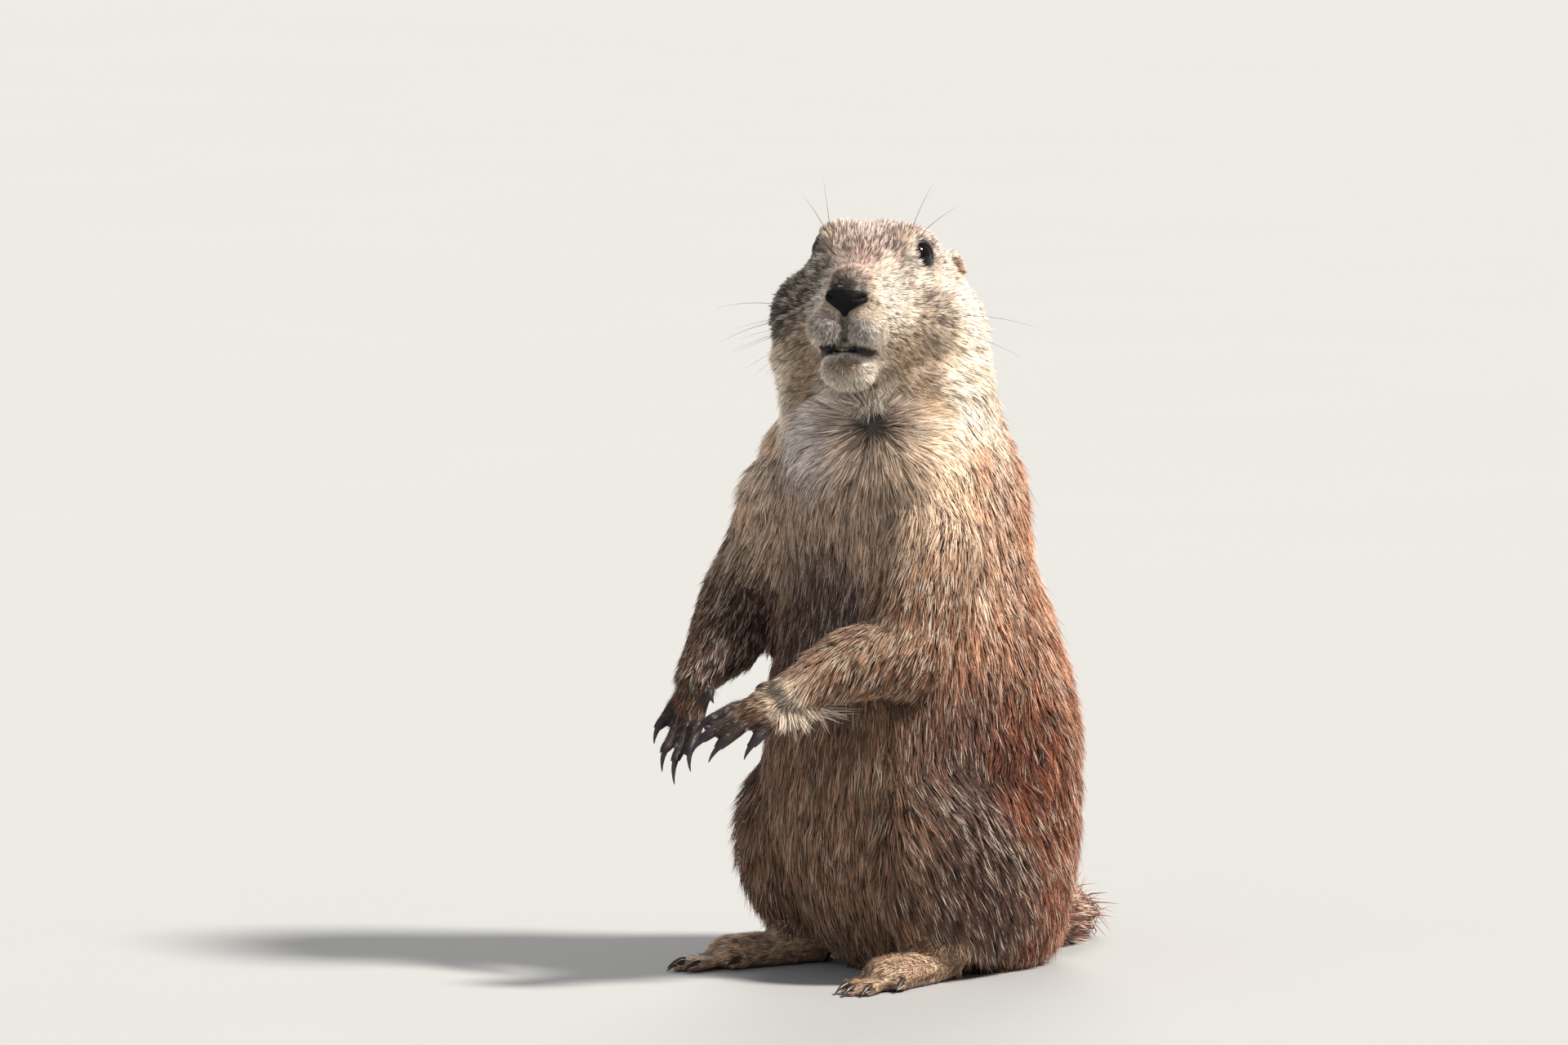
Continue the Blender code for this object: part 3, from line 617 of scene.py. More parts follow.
def hair_lengths():
    lengths = np.zeros(surface.count)
    for name, length in HAIR_LENGTHS.items():
        lengths = np.where(belongs(name) > 0, length, lengths)
    behind_nose = step(at_head[:, 1], -42, 6)
    face = 1.7 + 4.2 * behind_nose + 2.6 * paired(ball, at_head, (30, 4, -24), (20, 26, 26), 0.2)
    near_eye = paired(ball, at_head, EYE_PLACE, (16, 16, 15), 0.3)
    face = face * (1 - near_eye) + ROUND_THE_EYE * near_eye
    lengths = np.where(belongs("head") > 0, face, lengths)
    lengths += 3.5 * ball(at_body, (0, 55, 45), (60, 45, 50), 0.2)
    lengths += 3.0 * ball(at_body, WHORL, (26, 22, 26), 0.3)
    lengths += 3.0 * fringe
    fingers = on_fingers()
    lengths = lengths * (1 - fingers) + FINGER_LENGTH * fingers
    near_wrist = sum(ball(at_body, ARMS[side]["wrist"], (15, 15, 15), 0.3) for side in SIDES)
    lengths -= 2.5 * near_wrist * belongs("forearm") * step(surface.normals[:, 2], -0.5, 0.2)
    return surface.blended(lengths, 8)


lengths = hair_lengths()
depths = surface.blended(lengths * DEPTH_OF_LENGTH * (1 - bare), 3)
thin_tail = np.maximum(1 - belongs("tail_brush"), 0.15)
thin_lids = step(eye_reach, EYE_RADIUS + LID_COAT[0], EYE_RADIUS + LID_COAT[1])
press = (FATTEN / MM + depths * np.where(is_head > 0, thin_lids, 1)) * thin_tail
surface.move_to(surface.points - surface.normals * press[:, None] * MM)
surface.move_to(surface.blended(surface.points, 3, 0.35 * (1 - np.maximum(is_fine, bare))))
print("the coat is", round(float(lengths.min()), 1), "to", round(float(lengths.max()), 1), "mm long")

# %% [markdown]
# ## Folds of the face
#
# Under the coat the face still has forms that show through it: the groove from the nose to the
# mouth, the two whisker pads beside it, and the sockets that the eyeballs fill. The fingers are
# parted in the same way. They could be cut with Booleans, but under a coat soft pushes along the
# normals look truer, and each is one mask and one depth in millimetres.

# %% Press in the grooves and the sockets, raise the pads
PHILTRUM = ((0, -42.4, -16.8), (0, -40.8, -20), (0, -40.4, -24), (0, -38.6, -27.5))
GROOVE_DEPTH = 1.1
PAD_HEIGHT = 0.7
VALLEY_DEPTH = 1.1
SOCKET_RIM = 0.6
SOCKET_DEPTH = 0.9
at_head = head_mm(surface.points)
at_body = body_mm(surface.points)
groove = along_line(at_head, PHILTRUM, 1.9, 0.25) * is_head
pads = paired(ball, at_head, (6.0, -40.5, -22.5), (5.5, 6.0, 5.5), 0.1) * is_head
fold = PAD_HEIGHT * pads - GROOVE_DEPTH * groove
fold -= VALLEY_DEPTH * between_fingers()
surface.move_to(surface.points + surface.normals * fold[:, None] * MM)


def press_sockets():
    """Moves what covers an eyeball to a smaller ball inside it."""
    points = surface.points.copy()
    for side in SIDES:
        centre = np.array(middle("eye_" + side))
        away = points - centre
        reach = np.linalg.norm(away, axis=1)
        inside = reach < (EYE_RADIUS + SOCKET_RIM) * MM
        points[inside] = centre + away[inside] / reach[inside, None] * (EYE_RADIUS - SOCKET_DEPTH) * MM
    surface.move_to(points)


press_sockets()
at_head = head_mm(surface.points)
at_body = body_mm(surface.points)
print("the groove is", GROOVE_DEPTH, "mm deep")

# %% [markdown]
# ## The markings
#
# A prairie dog is buff below and cinnamon above, with a cream throat, a cream ring round each eye,
# a dark patch on each cheek and a grizzled crown. Each marking is a colour and a soft mask, laid
# over the one before it like glazes of paint. Some glazes are painted shade, on their own or over
# the animal's own colour: the far arm and the far cheek, the chest and the haunches under the arms,
# the jaw, below the lower lip, the lower upper arm and the clefts of the rump. One is painted light,
# on the top of the near forearm. The same list colours the skin and the coat. A painted picture
# would show the markings more exactly, but it could not be read or changed, and it would not
# follow when the shape does.

# %% Colours, from the values that a screen shows
def colour(red, green, blue):
    """A screen colour, 0 to 255 each, as the linear colour that a shader works with."""
    return np.array([c / 3294.6 if c <= 10 else ((c / 255 + 0.055) / 1.055) ** 2.4
                     for c in (red, green, blue)])


CREAM = colour(248, 234, 216)
PALE_BUFF = colour(236, 212, 184)
GOLD = colour(232, 194, 160)
CINNAMON = colour(204, 146, 112)
FOX = colour(210, 140, 102)
RUST = colour(168, 92, 57)
FLANK = colour(142, 98, 80)
DARK_BROWN = colour(104, 82, 74)
BLACK_BROWN = colour(44, 34, 32)
CROWN = colour(204, 170, 162)
TEMPLE = colour(222, 200, 180)
MUZZLE = colour(152, 117, 106)
LIP_GREY = colour(206, 196, 196)
JOWL_AND_SHADE = colour(158, 128, 94)
CHEST_PALE = colour(214, 208, 208)
CHEST_BUFF = colour(194, 163, 138)
CHEST_BROWN_AND_SHADE = colour(104, 78, 68)
BELLY = colour(152, 115, 90)
HAUNCH_BROWN_AND_SHADE = colour(88, 60, 47)
ARM_GOLD = colour(206, 168, 136)
ARM_BROWN = colour(138, 97, 70)
SHADED_ARM_GREY = colour(88, 65, 56)
FINGER_FUR = colour(78, 64, 62)
EAR_RUST = colour(222, 168, 128)

# %% The masks of the body
# The trunk turns towards the head's side, and its middle moves forwards, between these heights.
TURN_HEIGHTS = (95, 240)
LEAN_HEIGHTS = (60, 215)


def looks_forwards(points):
    """How far a point of the trunk looks forwards, from 1 in front to -1 behind."""
    high = points[:, 2]
    turn = np.radians(HEAD_TURN * step(high, *TURN_HEIGHTS))
    middle_y = 8 - 20 * step(high, *LEAN_HEIGHTS)
    offset = unit(np.stack([points[:, 0] - 1, points[:, 1] - middle_y], axis=1))
    facing = np.stack([np.sin(turn), -np.cos(turn)], axis=1)
    return np.sum(offset * facing, axis=1)


def mottle(size, shift):
    """Soft blotches, 0 to 1, about as large as size in millimetres."""
    places = (at_body / size + shift).tolist()
    return step(np.array([noise.noise(place) for place in places]), -0.12, 0.3)


front = looks_forwards(at_body)


def body_colours():
    high = at_body[:, 2]
    # How far a point faces the view's right. On the far arm that is towards the chest, and there it is
    # painted in shade.
    faces_view_right = step(surface.normals @ ACROSS_VIEW, -0.75, 0.0)
    tint = np.tile(CINNAMON, (surface.count, 1))
    # Each glaze is a colour and how much of it shows at each point. Later ones lie over earlier ones.
    layers = (
        (GOLD, 0.8 * step(high, 120, 165) * step(front, -0.55, 0.1)),
        (CREAM, 0.6 * step(high, 120, 150) * step(front, -0.5, 0) * mottle(11, 5)),
        (FOX, 0.75 * step(-front, -0.25, 0.5) * step(high, 100, 150) * mottle(8, 3)),
        (FLANK, 1 - step(high, 96, 140)),
        (FOX, 0.8 * (1 - step(high, 96, 150)) * step(-front, -0.2, 0.4)),
        (RUST, 0.8 * (1 - step(high, 64, 90)) * step(-front, -0.2, 0.4)),
        # The haunch and lower front are dark brown: their own colour, with painted shade under the arms.
        (HAUNCH_BROWN_AND_SHADE, (1 - step(high, 60, 118)) * step(front, -0.5, 0.2)),
        (RUST, 0.9 * paired(ball, at_body, (46, 16, 80), (22, 28, 36), 0.3)),
        (DARK_BROWN, 0.5 * (1 - step(high, 96, 130)) * mottle(6, 11)),
        # Painted shade: dark blotches for the clefts between the rump's ruffled clumps.
        (BLACK_BROWN, 0.95 * ruffled * mottle(8, 2)),
        (BELLY, step(front, 0.55, 0.9)),
        (CHEST_BUFF, step(front, 0.3, 0.7) * step(high, 120, 150)),
        # The middle of the chest between the arms is darker: its own brown, with painted shade under the
        # arms.
        (CHEST_BROWN_AND_SHADE, step(front, 0.5, 0.85) * ball(at_body, (6, -46, 128), (40, 40, 42), 0.4)),
        (CHEST_PALE, 0.75 * ball(at_body, (0, -44, 194), (28, 24, 23), 0.2)),
        (PALE_BUFF, 0.9 * paired(ball, at_body, (38, -16, 196), (20, 26, 26), 0.35)),
        (GOLD, 0.8 * paired(ball, at_body, (43, -18, 172), (18, 26, 24), 0.3)),
        (FOX, 0.75 * paired(ball, at_body, (40, 6, 180), (22, 22, 48), 0.35) * mottle(6, 3)),
        (ARM_GOLD, belongs("upper_arm")),
        # The lower upper arm is brown: its own colour, with painted shade where it meets the chest.
        (ARM_BROWN, belongs("upper_arm") * (1 - step(high, 140, 168))),
        (ARM_BROWN, belongs("forearm", "hand")),
        # Painted light: the top of the near forearm is paler where it faces up.
        (PALE_BUFF, 0.18 * belongs("forearm_left", "hand_left")
         * step(surface.normals[:, 2], -0.1, 0.8)),
        (PALE_BUFF, 0.9 * ball(at_body, (28, -78, 106), (14, 14, 12), 0.3)
         * belongs("forearm", "hand")),
        # The far arm is grey-brown and is painted darker as shade, most of all where it faces the chest.
        (SHADED_ARM_GREY, 0.9 * belongs("upper_arm_right", "forearm_right", "hand_right")
         * (1 - step(high, 126, 166)) * (0.3 + 0.7 * faces_view_right) * step(high, 88, 106)),
        (CHEST_BUFF, 0.8 * belongs("upper_arm_right") * step(high, 128, 158)),
        (CREAM, 0.35 * fringe),
        (GOLD, belongs("foot")),
        (FLANK, belongs("tail")),
        (BLACK_BROWN, belongs("tail") * step(-at_body[:, 0] + 0.3 * at_body[:, 1], 62, 76)),
    )
    for shade, share in layers:
        tint = mixed(tint, shade, surface.blended(share, 6))
    return mixed(tint, FINGER_FUR, surface.blended(0.85 * on_fingers(), 2))


# %% The masks of the head
CHEEK_PATCH = ((17, -24, -1.5), (23, -18.5, -7.5), (28, -15, -14))
# The far cheek's patch is wider and fully dark, and the near one is half as dark. The far cheek carries
# painted shade as well as its dark patch.
FAR_CHEEK_PATCH_AND_SHADE = ((-20, -18, 0), (-26, -16, -8.5), (-31, -11, -15))
EAR_CUP = (25.2, 12.3, 5.6)


def cheek_patches_and_far_shade(points):
    return np.maximum(0.5 * along_line(points, CHEEK_PATCH, 7.5, 0.2),
                      along_line(points, FAR_CHEEK_PATCH_AND_SHADE, 14.0, 0.4)) * is_head


def head_colours(tint):
    h = at_head
    back = h[:, 1]
    high = h[:, 2]
    neck_share = step(high, -56, -40)
    before_nape = step(front, -0.55, 0.0)
    # The glazes run from the back of the head to the nose.
    layers = (
        (TEMPLE, np.ones_like(high)),
        (CROWN, ball(h, (0, -6, 16), (27, 42, 18), 0.5)),
        (CINNAMON, 0.8 * step(back, 6, 28)),
        (PALE_BUFF, before_nape * (1 - step(high, -18, 0))),
        (CREAM, before_nape * (1 - step(high + 0.35 * back, -46, -26))),
        # Golden-brown under the jaw: its own colour, with painted shade under the jaw.
        (JOWL_AND_SHADE, 0.9 * paired(rod, h, (18, -20, -29), (21, -14, -42), 14, 0.3)),
        (CREAM, 0.9 * paired(ball, h, (35, -2, -12), (12, 15, 20), 0.3)),
        (CREAM, 0.9 * paired(ball, h, (14, -28, -10), (10, 14, 14), 0.3)),
        (DARK_BROWN, 0.9 * cheek_patches_and_far_shade(h)),
        (MUZZLE, 0.9 * rod(h, (0, -40, -5), (0, -25, 7), 10, 0.3)),
        (CREAM, 0.9 * paired(ball, h, (18.5, -17.5, 5), (7.0, 9, 10), 0.62)),
        (GOLD, 0.8 * paired(ball, h, (14.5, -20, 12), (5.5, 7, 5), 0.3)),
        (LIP_GREY, 0.85 * paired(ball, h, (5.6, -40, -23), (8.5, 10, 7.0), 0.2)),
        (CREAM, 0.8 * paired(ball, h, (11, -36, -27), (6, 8, 5), 0.2)),
        (CREAM, 0.6 * ball(h, (2, -34, -37), (12, 12, 6), 0.5)),
        # Painted shade just below the lower lip.
        (JOWL_AND_SHADE, 0.8 * ball(h, (0, -38, -35), (10, 8, 5), 0.4)),
        (DARK_BROWN, 0.85 * ball(h, (0, -41, -5.5), (10, 10, 6.5), 0.3)),
        (BLACK_BROWN, 0.95 * paired(ball, h, (3.5, -43, -10.0), (10, 8, 5.4), 0.5)),
        (BLACK_BROWN, 0.95 * along_line(h, PHILTRUM, 2.4, 0.3)),
    )
    painted = tint
    for shade, share in layers:
        painted = mixed(painted, shade, share)
    ears = belongs("ear")
    painted = mixed(painted, CREAM, 0.85 * ears)
    painted = mixed(painted, EAR_RUST, ears * paired(ball, h, EAR_CUP, (4.2, 6.2, 7.2), 0.55))
    return mixed(tint, painted, np.clip(is_head + belongs("neck"), 0, 1) * neck_share)


def whorl_shade():
    """The whorl's dark middle and the dark rays that run out of it."""
    away = at_body - np.array(WHORL)
    reach = np.linalg.norm(away, axis=1)
    round_about = np.arctan2(away[:, 2], away @ ACROSS_VIEW)
    rays = step(np.sin(round_about * 9 + 2 * np.sin(round_about * 4)), 0.1, 0.9)
    middle_share = 0.9 * (1 - step(reach, 2.0, 8.0))
    return np.maximum(middle_share, 0.5 * rays * (1 - step(reach, 8.0, 24.0)))


coat_colours = head_colours(body_colours())
coat_colours = mixed(coat_colours, BLACK_BROWN, whorl_shade())
print("mean colour of the coat:", np.round(coat_colours.mean(axis=0), 3))

# %% [markdown]
# ## Ticking
#
# Each guard hair of a prairie dog is banded: dark at the root, then buff or brown, with a black or
# a pale tip. Seen together they make the grizzled look. How likely a tuft is to end dark or pale is
# another mask over the skin: dark most often on the cheek patches, the crown and the back and
# least on the cream throat, pale most often on the crown, the arms and the near wrist.

# %% How likely a dark or a pale tip is at each point
def ticking():
    behind = 1 - step(front, -0.3, 0.3)
    low = 1 - step(at_body[:, 2], 90, 140)
    dark = 0.2 + 0.26 * behind
    pale = 0.16 + 0.1 * behind - 0.04 * low + 0.12 * belongs("forearm", "upper_arm")
    pale += 0.25 * fringe - 0.14 * ruffled
    high = at_head[:, 2]
    crown = step(high, 2, 10)
    crown_behind = crown * step(at_head[:, 1], 2, 20)
    dark = np.where(is_head > 0, 0.16 + 0.38 * crown - 0.2 * crown_behind, dark)
    pale = np.where(is_head > 0, 0.26 + 0.16 * crown, pale)
    # Dark tips are commonest on the cheek patches, most of all on the far cheek, which deepens its painted
    # shade.
    patch = cheek_patches_and_far_shade(at_head)
    dark = dark + 0.55 * patch + 0.2 * paired(ball, at_head, (6, -40, -23), (7, 9, 6), 0.3)
    muzzle = ball(at_head, (0, -34, -2), (12, 16, 14), 0.4)
    dark = dark * (1 - 0.5 * muzzle)
    throat = (1 - step(high, -34, -20)) * np.clip(is_head + belongs("neck"), 0, 1) * step(front, 0, 0.4)
    dark = dark * (1 - 0.75 * throat) * (1 - 0.5 * belongs("neck") * step(front, -0.5, 0))
    return surface.blended(dark, 3).clip(0, 0.85), surface.blended(pale, 3).clip(0, 0.6)


dark_chance, pale_chance = ticking()
print("dark tips on", round(float(dark_chance.mean()) * 100), "% of the coat")

# %% The skin's own colours, under the coat and where it is bare
UNDERCOAT_SHARE = 0.3
DIGIT = colour(34, 26, 30)
DIGIT_PINK = colour(96, 66, 72)
SOLE = colour(96, 76, 72)
NOSE_BLACK = colour(30, 25, 28)
MOUTH_SHADE = colour(18, 10, 10)
LID_BLACK = colour(16, 13, 14)


def skin_colours():
    tint = coat_colours * UNDERCOAT_SHARE
    palm = digits * step(-surface.normals[:, 2], 0.0, 0.6)
    for shade, share in (
        (DIGIT, digits), (DIGIT_PINK, 0.5 * palm), (SOLE, soles),
        # The mouth's gap is near black: painted shade inside the open mouth.
        (NOSE_BLACK, nose_pad), (BLACK_BROWN, 0.85 * lip_line), (MOUTH_SHADE, mouth_gap),
        (LID_BLACK, lids),
    ):
        tint = mixed(tint, shade, share)
    return tint


def store(mesh, name, rows):
    """Keeps a colour for each point of a mesh, for its shader to read."""
    attribute = mesh.attributes.new(name, "FLOAT_COLOR", "POINT")
    with_alpha = np.concatenate([rows, np.ones((len(rows), 1))], axis=1)
    attribute.data.foreach_set("color", with_alpha.astype(np.float32).ravel())


store(skin.data, "tint", skin_colours())
print("the skin holds", len(skin.data.attributes), "attributes")

# %% [markdown]
# ## Shaders as plain sums
#
# A material's nodes read best when they are written as sums. One small class wraps a socket, and
# adding or multiplying two of them adds the Math node that does it. Any other node comes from one
# method, which takes its type, its settings and the values or links of its sockets. Most finishes
# here are a grain between two near tints, so one function makes those.

# %% A class for sockets and one for materials
class Value:
    """A socket that can be added to and multiplied, which adds Math nodes."""

    def __init__(self, paint, socket):
        self.paint = paint
        self.socket = socket

    def joined(self, operation, first, second):
        return self.paint.node("ShaderNodeMath", {"operation": operation}, {0: first, 1: second})["Value"]

    def __add__(self, other):
        return self.joined("ADD", self, other)

    def __mul__(self, other):
        return self.joined("MULTIPLY", self, other)

    __radd__ = __add__
    __rmul__ = __mul__


class Paint:
    """A material whose nodes are made one call at a time."""

    def __init__(self, name):
        self.material = bpy.data.materials.new(name)
        self.material.use_nodes = True
        self.tree = self.material.node_tree
        self.tree.nodes.clear()
        self.place = self.node("ShaderNodeTexCoord")["Object"]

    def node(self, kind, settings=None, sockets=None):
        """Adds a node, sets it up and links it. Returns the outputs that are in use, by name."""
        node = self.tree.nodes.new(kind)
        for key, value in (settings or {}).items():
            setattr(node, key, value)
        for key, value in (sockets or {}).items():
            if isinstance(value, Value):
                self.tree.links.new(value.socket, node.inputs[key])
            else:
                node.inputs[key].default_value = value
        return {output.name: Value(self, output) for output in node.outputs if output.enabled}

    def noise(self, scale, detail=3.0):
        """Noise from 0 to 1 whose lumps are about 1 / scale metres across."""
        return self.node("ShaderNodeTexNoise", {}, {
            "Vector": self.place, "Scale": scale, "Detail": detail, "Roughness": 0.55,
        })["Fac"]

    def attribute(self, name):
        return self.node("ShaderNodeAttribute", {"attribute_name": name})["Color"]

    def lit(self, tint, share):
        """A colour made lighter or darker by a number round 1."""
        scaled = self.node("ShaderNodeVectorMath", {"operation": "SCALE"}, {0: tint, "Scale": share})
        return scaled["Vector"]

    def mix(self, first, second, share):
        """A colour between two fixed ones, which are sockets 6 and 7 of the Mix node."""
        return self.node("ShaderNodeMix", {"data_type": "RGBA"}, {
            "Factor": share, 6: (*first, 1.0), 7: (*second, 1.0),
        })["Result"]

    def bump(self, height, distance, strength=1.0):
        return self.node("ShaderNodeBump", {}, {
            "Height": height, "Distance": distance, "Strength": strength,
        })["Normal"]

    def finish(self, base, roughness, normal=None, specular=0.5):
        """The surface itself. specular is the same all over."""
        sockets = {"Base Color": base, "Roughness": roughness, "Specular IOR Level": specular}
        if normal is not None:
            sockets["Normal"] = normal
        surface_out = self.node("ShaderNodeBsdfPrincipled", {}, sockets)["BSDF"]
        self.node("ShaderNodeOutputMaterial", {}, {"Surface": surface_out})
        return self.material


def grained(name, scale, tints, roughness, wear, detail=3.0, relief=None, specular=0.5):
    """A material between two tints, rougher by wear where its grain is high. relief is in metres."""
    paint = Paint(name)
    grain = paint.noise(scale, detail)
    normal = paint.bump(grain, relief) if relief else None
    return paint.finish(paint.mix(*tints, grain), roughness + wear * grain, normal, specular)


print("a small shader kit is ready")

# %% [markdown]
# ## The skin's finish
#
# Under the coat the skin is dull and only a little lighter and darker. Bare skin on the fingers
# and soles is leathery, so fine pebbles stand up on it, with a low sheen.

# %% Skin
def skin_material():
    paint = Paint("skin")
    mottle = paint.noise(900.0)
    pebbles = paint.node("ShaderNodeTexVoronoi", {}, {"Vector": paint.place, "Scale": 1500.0})["Distance"]
    tint = paint.lit(paint.attribute("tint"), 0.75 + mottle * 0.5)
    normal = paint.bump(pebbles + mottle * 0.6, 0.12 * MM, 0.5)
    return paint.finish(tint, 0.45 + mottle * 0.2, normal, specular=0.4)


skin.data.materials.append(skin_material())
skin.data.shade_smooth()
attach(skin, "root")
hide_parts(*FLESH, "tail_brush")
print("the skin replaces", len(FLESH) + 1, "nodes")

# %% [markdown]
# ## How a tuft is made
#
# Particle hair would not survive an export, so every tuft is a small closed solid. A long one is a
# flat spindle: a point at the root, three corners at the bend and a point at the tip. A short one
# goes straight from a root triangle to its tip. Their roots are spread evenly over the skin, they
# lie along the coat's way with a little chance in each, and neighbours draw together to a common
# tip, as damp or dusty fur does. The upper sides take their normals from the skin, so that the
# light falls on the coat as on one soft surface, and the undersides face along the hair. There
# are more than a quarter of a million, so the tufts of a region are placed as arrays, all at once.

# %% Where the tufts stand
FIRST_SEED = 41


class Roots:
    """Places spread evenly over some of the skin's triangles, with the skin's values there."""

    def __init__(self, corners, share, count, seed):
        draw = np.random.default_rng(seed)
        where = surface.points[corners]
        area = np.linalg.norm(np.cross(where[:, 1] - where[:, 0], where[:, 2] - where[:, 0]), axis=1)
        reach = np.cumsum(area * share)
        marks = (np.arange(count) + draw.random(count)) / count * reach[-1]
        chosen = corners[np.searchsorted(reach, marks)]
        first = 1 - np.sqrt(draw.random(count))
        second = (1 - first) * draw.random(count)
        self.weights = np.stack([first, second, 1 - first - second], axis=1)
        self.chosen = chosen
        self.draw = draw
        self.count = count

    def of(self, rows):
        """The skin's values at the roots, blended between a triangle's corners."""
        rows = rows.reshape(surface.count, -1)
        return np.einsum("nk,nkc->nc", self.weights, rows[self.chosen])


def locks_of(root, tufts_to_a_lock, draw):
    """For each tuft, the tuft that leads its lock, and how far off it stands as a share."""
    count = max(1, int(len(root) / tufts_to_a_lock))
    leaders = draw.choice(len(root), count, replace=False)
    tree = KDTree(count)
    for index, place in enumerate(root[leaders].tolist()):
        tree.insert(place, index)
    tree.balance()
    found = [tree.find(place) for place in root.tolist()]
    apart = np.array([row[2] for row in found])
    return leaders[[row[1] for row in found]], apart / max(float(apart.mean()), 1e-9)


print("the first seed is", FIRST_SEED)

# %% The solid of each tuft
SUNK = 0.5 * MM
THICKNESS_SHARE = 0.34
BEND_SHARE = 0.42
# The corners of each face, which faces lie beneath, and how far along the tuft each corner is.
FACES = {
    "long": ((0, 3, 1), (0, 2, 3), (0, 1, 2), (1, 3, 4), (3, 2, 4), (2, 1, 4)),
    "short": ((0, 1, 2), (0, 3, 1), (1, 3, 2), (2, 3, 0)),
}
UNDERSIDES = {"long": (2, 5), "short": (1,)}
PLACES = {"long": (0, 0.5, 0.5, 0.5, 1), "short": (0, 0, 0, 1)}
SIDE_TILT = 0.55


def triangle_of(centre, side, over, width):
    """Three corners at each centre: one on each side, and a ridge over them."""
    half = side * width[:, None] / 2
    return [centre + half, centre - half, centre + over * (width * THICKNESS_SHARE)[:, None]]


def solid_mesh(name, corners, kind, facing, beneath):
    """A mesh of many like solids. facing and beneath are the normals of their two sides."""
    faces = FACES[kind]
    count, each = corners.shape[:2]
    order = np.concatenate([np.array(face) for face in faces])
    loops = (np.arange(count)[:, None] * each + order[None]).ravel()
    mesh = bpy.data.meshes.new(name)
    mesh.vertices.add(count * each)
    mesh.loops.add(len(loops))
    mesh.polygons.add(count * len(faces))
    mesh.vertices.foreach_set("co", corners.astype(np.float32).ravel())
    mesh.loops.foreach_set("vertex_index", loops.astype(np.int32))
    mesh.polygons.foreach_set("loop_start", np.arange(0, len(loops), 3, dtype=np.int32))
    mesh.update(calc_edges=True)
    mesh.shade_smooth()
    shown = facing[:, order]
    for face in UNDERSIDES[kind]:
        shown[:, face * 3:face * 3 + 3] = beneath[:, None]
    mesh.normals_split_custom_set(shown.reshape(-1, 3).tolist())
    return mesh, order


print("triangles in a tuft:", {kind: len(faces) for kind, faces in FACES.items()})

# %% Shades along a tuft
ROOT_SHADE = 0.22
PALE_TIP = colour(246, 230, 210)
DARK_TIP = colour(52, 39, 34)
LOCK_VARIETY = 0.2
TUFT_VARIETY = 0.2
SHADE_LIMITS = (0.5, 1.5)
# The share of tufts that are ticked as the leader of their lock is.
SHARED_TICKS = {"long": 0.25, "short": 0.6}
# How dark the outer tufts of a lock are, between these shares of the mean way from its leader.
EDGE_SHADE = 0.45
EDGE_REACH = (0.9, 1.9)
# A tuft is darker at its bend, most of all where the coat itself is dark, and lighter at its tip.
BEND_SHADE = 0.58
BEND_LIGHT = 0.36
TIP_LIGHT = 1.3
# How much a dark and how much a pale tick colours the tip, and the bend.
TIP_TICKS = (0.85, 0.7)
BEND_TICKS = (0.4, 0.15)


def ticked(tint, is_dark, is_pale, shares):
    """The tint with the dark and the pale ticks laid over it, by a share for each kind."""
    return mixed(mixed(tint, DARK_TIP, shares[0] * is_dark), PALE_TIP, shares[1] * is_pale)


def tuft_colours(roots, kind, leader, apart):
    """A colour for each corner of each tuft."""
    draw = roots.draw
    by_lock = draw.normal(1.0, LOCK_VARIETY, roots.count)[leader]
    by_tuft = draw.normal(1.0, TUFT_VARIETY, roots.count)
    shade = by_lock * by_tuft * (1 - EDGE_SHADE * step(apart, *EDGE_REACH))
    tint = roots.of(coat_colours) * shade.clip(*SHADE_LIMITS)[:, None]
    chance = draw.random(roots.count)
    shared = draw.random(roots.count) < SHARED_TICKS[kind]
    chance = np.where(shared, chance[leader], chance)
    is_dark = (chance < roots.of(dark_chance)[:, 0]).astype(float)
    is_pale = ((chance > 1 - roots.of(pale_chance)[:, 0]) & (is_dark == 0)).astype(float)
    shown = (BEND_SHADE + BEND_LIGHT * tint.mean(axis=1)).clip(0, 1)[:, None]
    tip = ticked(tint * TIP_LIGHT, is_dark, is_pale, TIP_TICKS)
    bend = ticked(tint, is_dark, is_pale, BEND_TICKS)
    ends = {0: tint * ROOT_SHADE, 0.5: bend * shown, 1: tip}
    return np.stack([ends[place] for place in PLACES[kind]], axis=1).reshape(-1, 3)


# %% The unwrap that the export bakes on
PATCH = 0.003
ACROSS_PATCH = {"long": (0, -0.5, 0.5, 0, 0), "short": (-0.5, 0.5, 0, 0)}


def unwrapped(points, centre, axis):
    """Each root's place on the skin rolled out round an axis: how far round and how far along."""
    axis = Vector(axis).normalized()
    turn = np.array(axis.to_track_quat("Z", "Y").to_matrix())
    local = (points - np.array(centre)) @ turn
    along = local[:, 2]
    share = (along - along.min()) / max(np.ptp(along), 1e-6)
    round_about = np.arctan2(local[:, 1], local[:, 0]) / (2 * math.pi) + 0.5
    return np.stack([round_about, share], axis=1) * (1 - 2 * PATCH) + PATCH


def bake_map(mesh, order, places, kind):
    """The UV map OFBake, where each tuft is a small patch at its root's place."""
    patch = np.stack([np.array(ACROSS_PATCH[kind]), np.array(PLACES[kind]) - 0.5], axis=1) * PATCH
    coordinates = places[:, None] + patch[order][None]
    layer = mesh.uv_layers.new(name="OFBake")
    layer.data.foreach_set("uv", coordinates.astype(np.float32).ravel())


print("a patch on the unwrap is", PATCH, "across")

# %% [markdown]
# ## The coat, piece by piece
#
# The coat is made in pieces that each cover one region, because a piece has to stay under two
# hundred thousand triangles. A table says where a piece grows, how many tufts it has, how wide
# they are, how far they stand off at the root and at the tip, and how strongly they draw together.
# Standing fur would look like a toy, so most of it lies close.

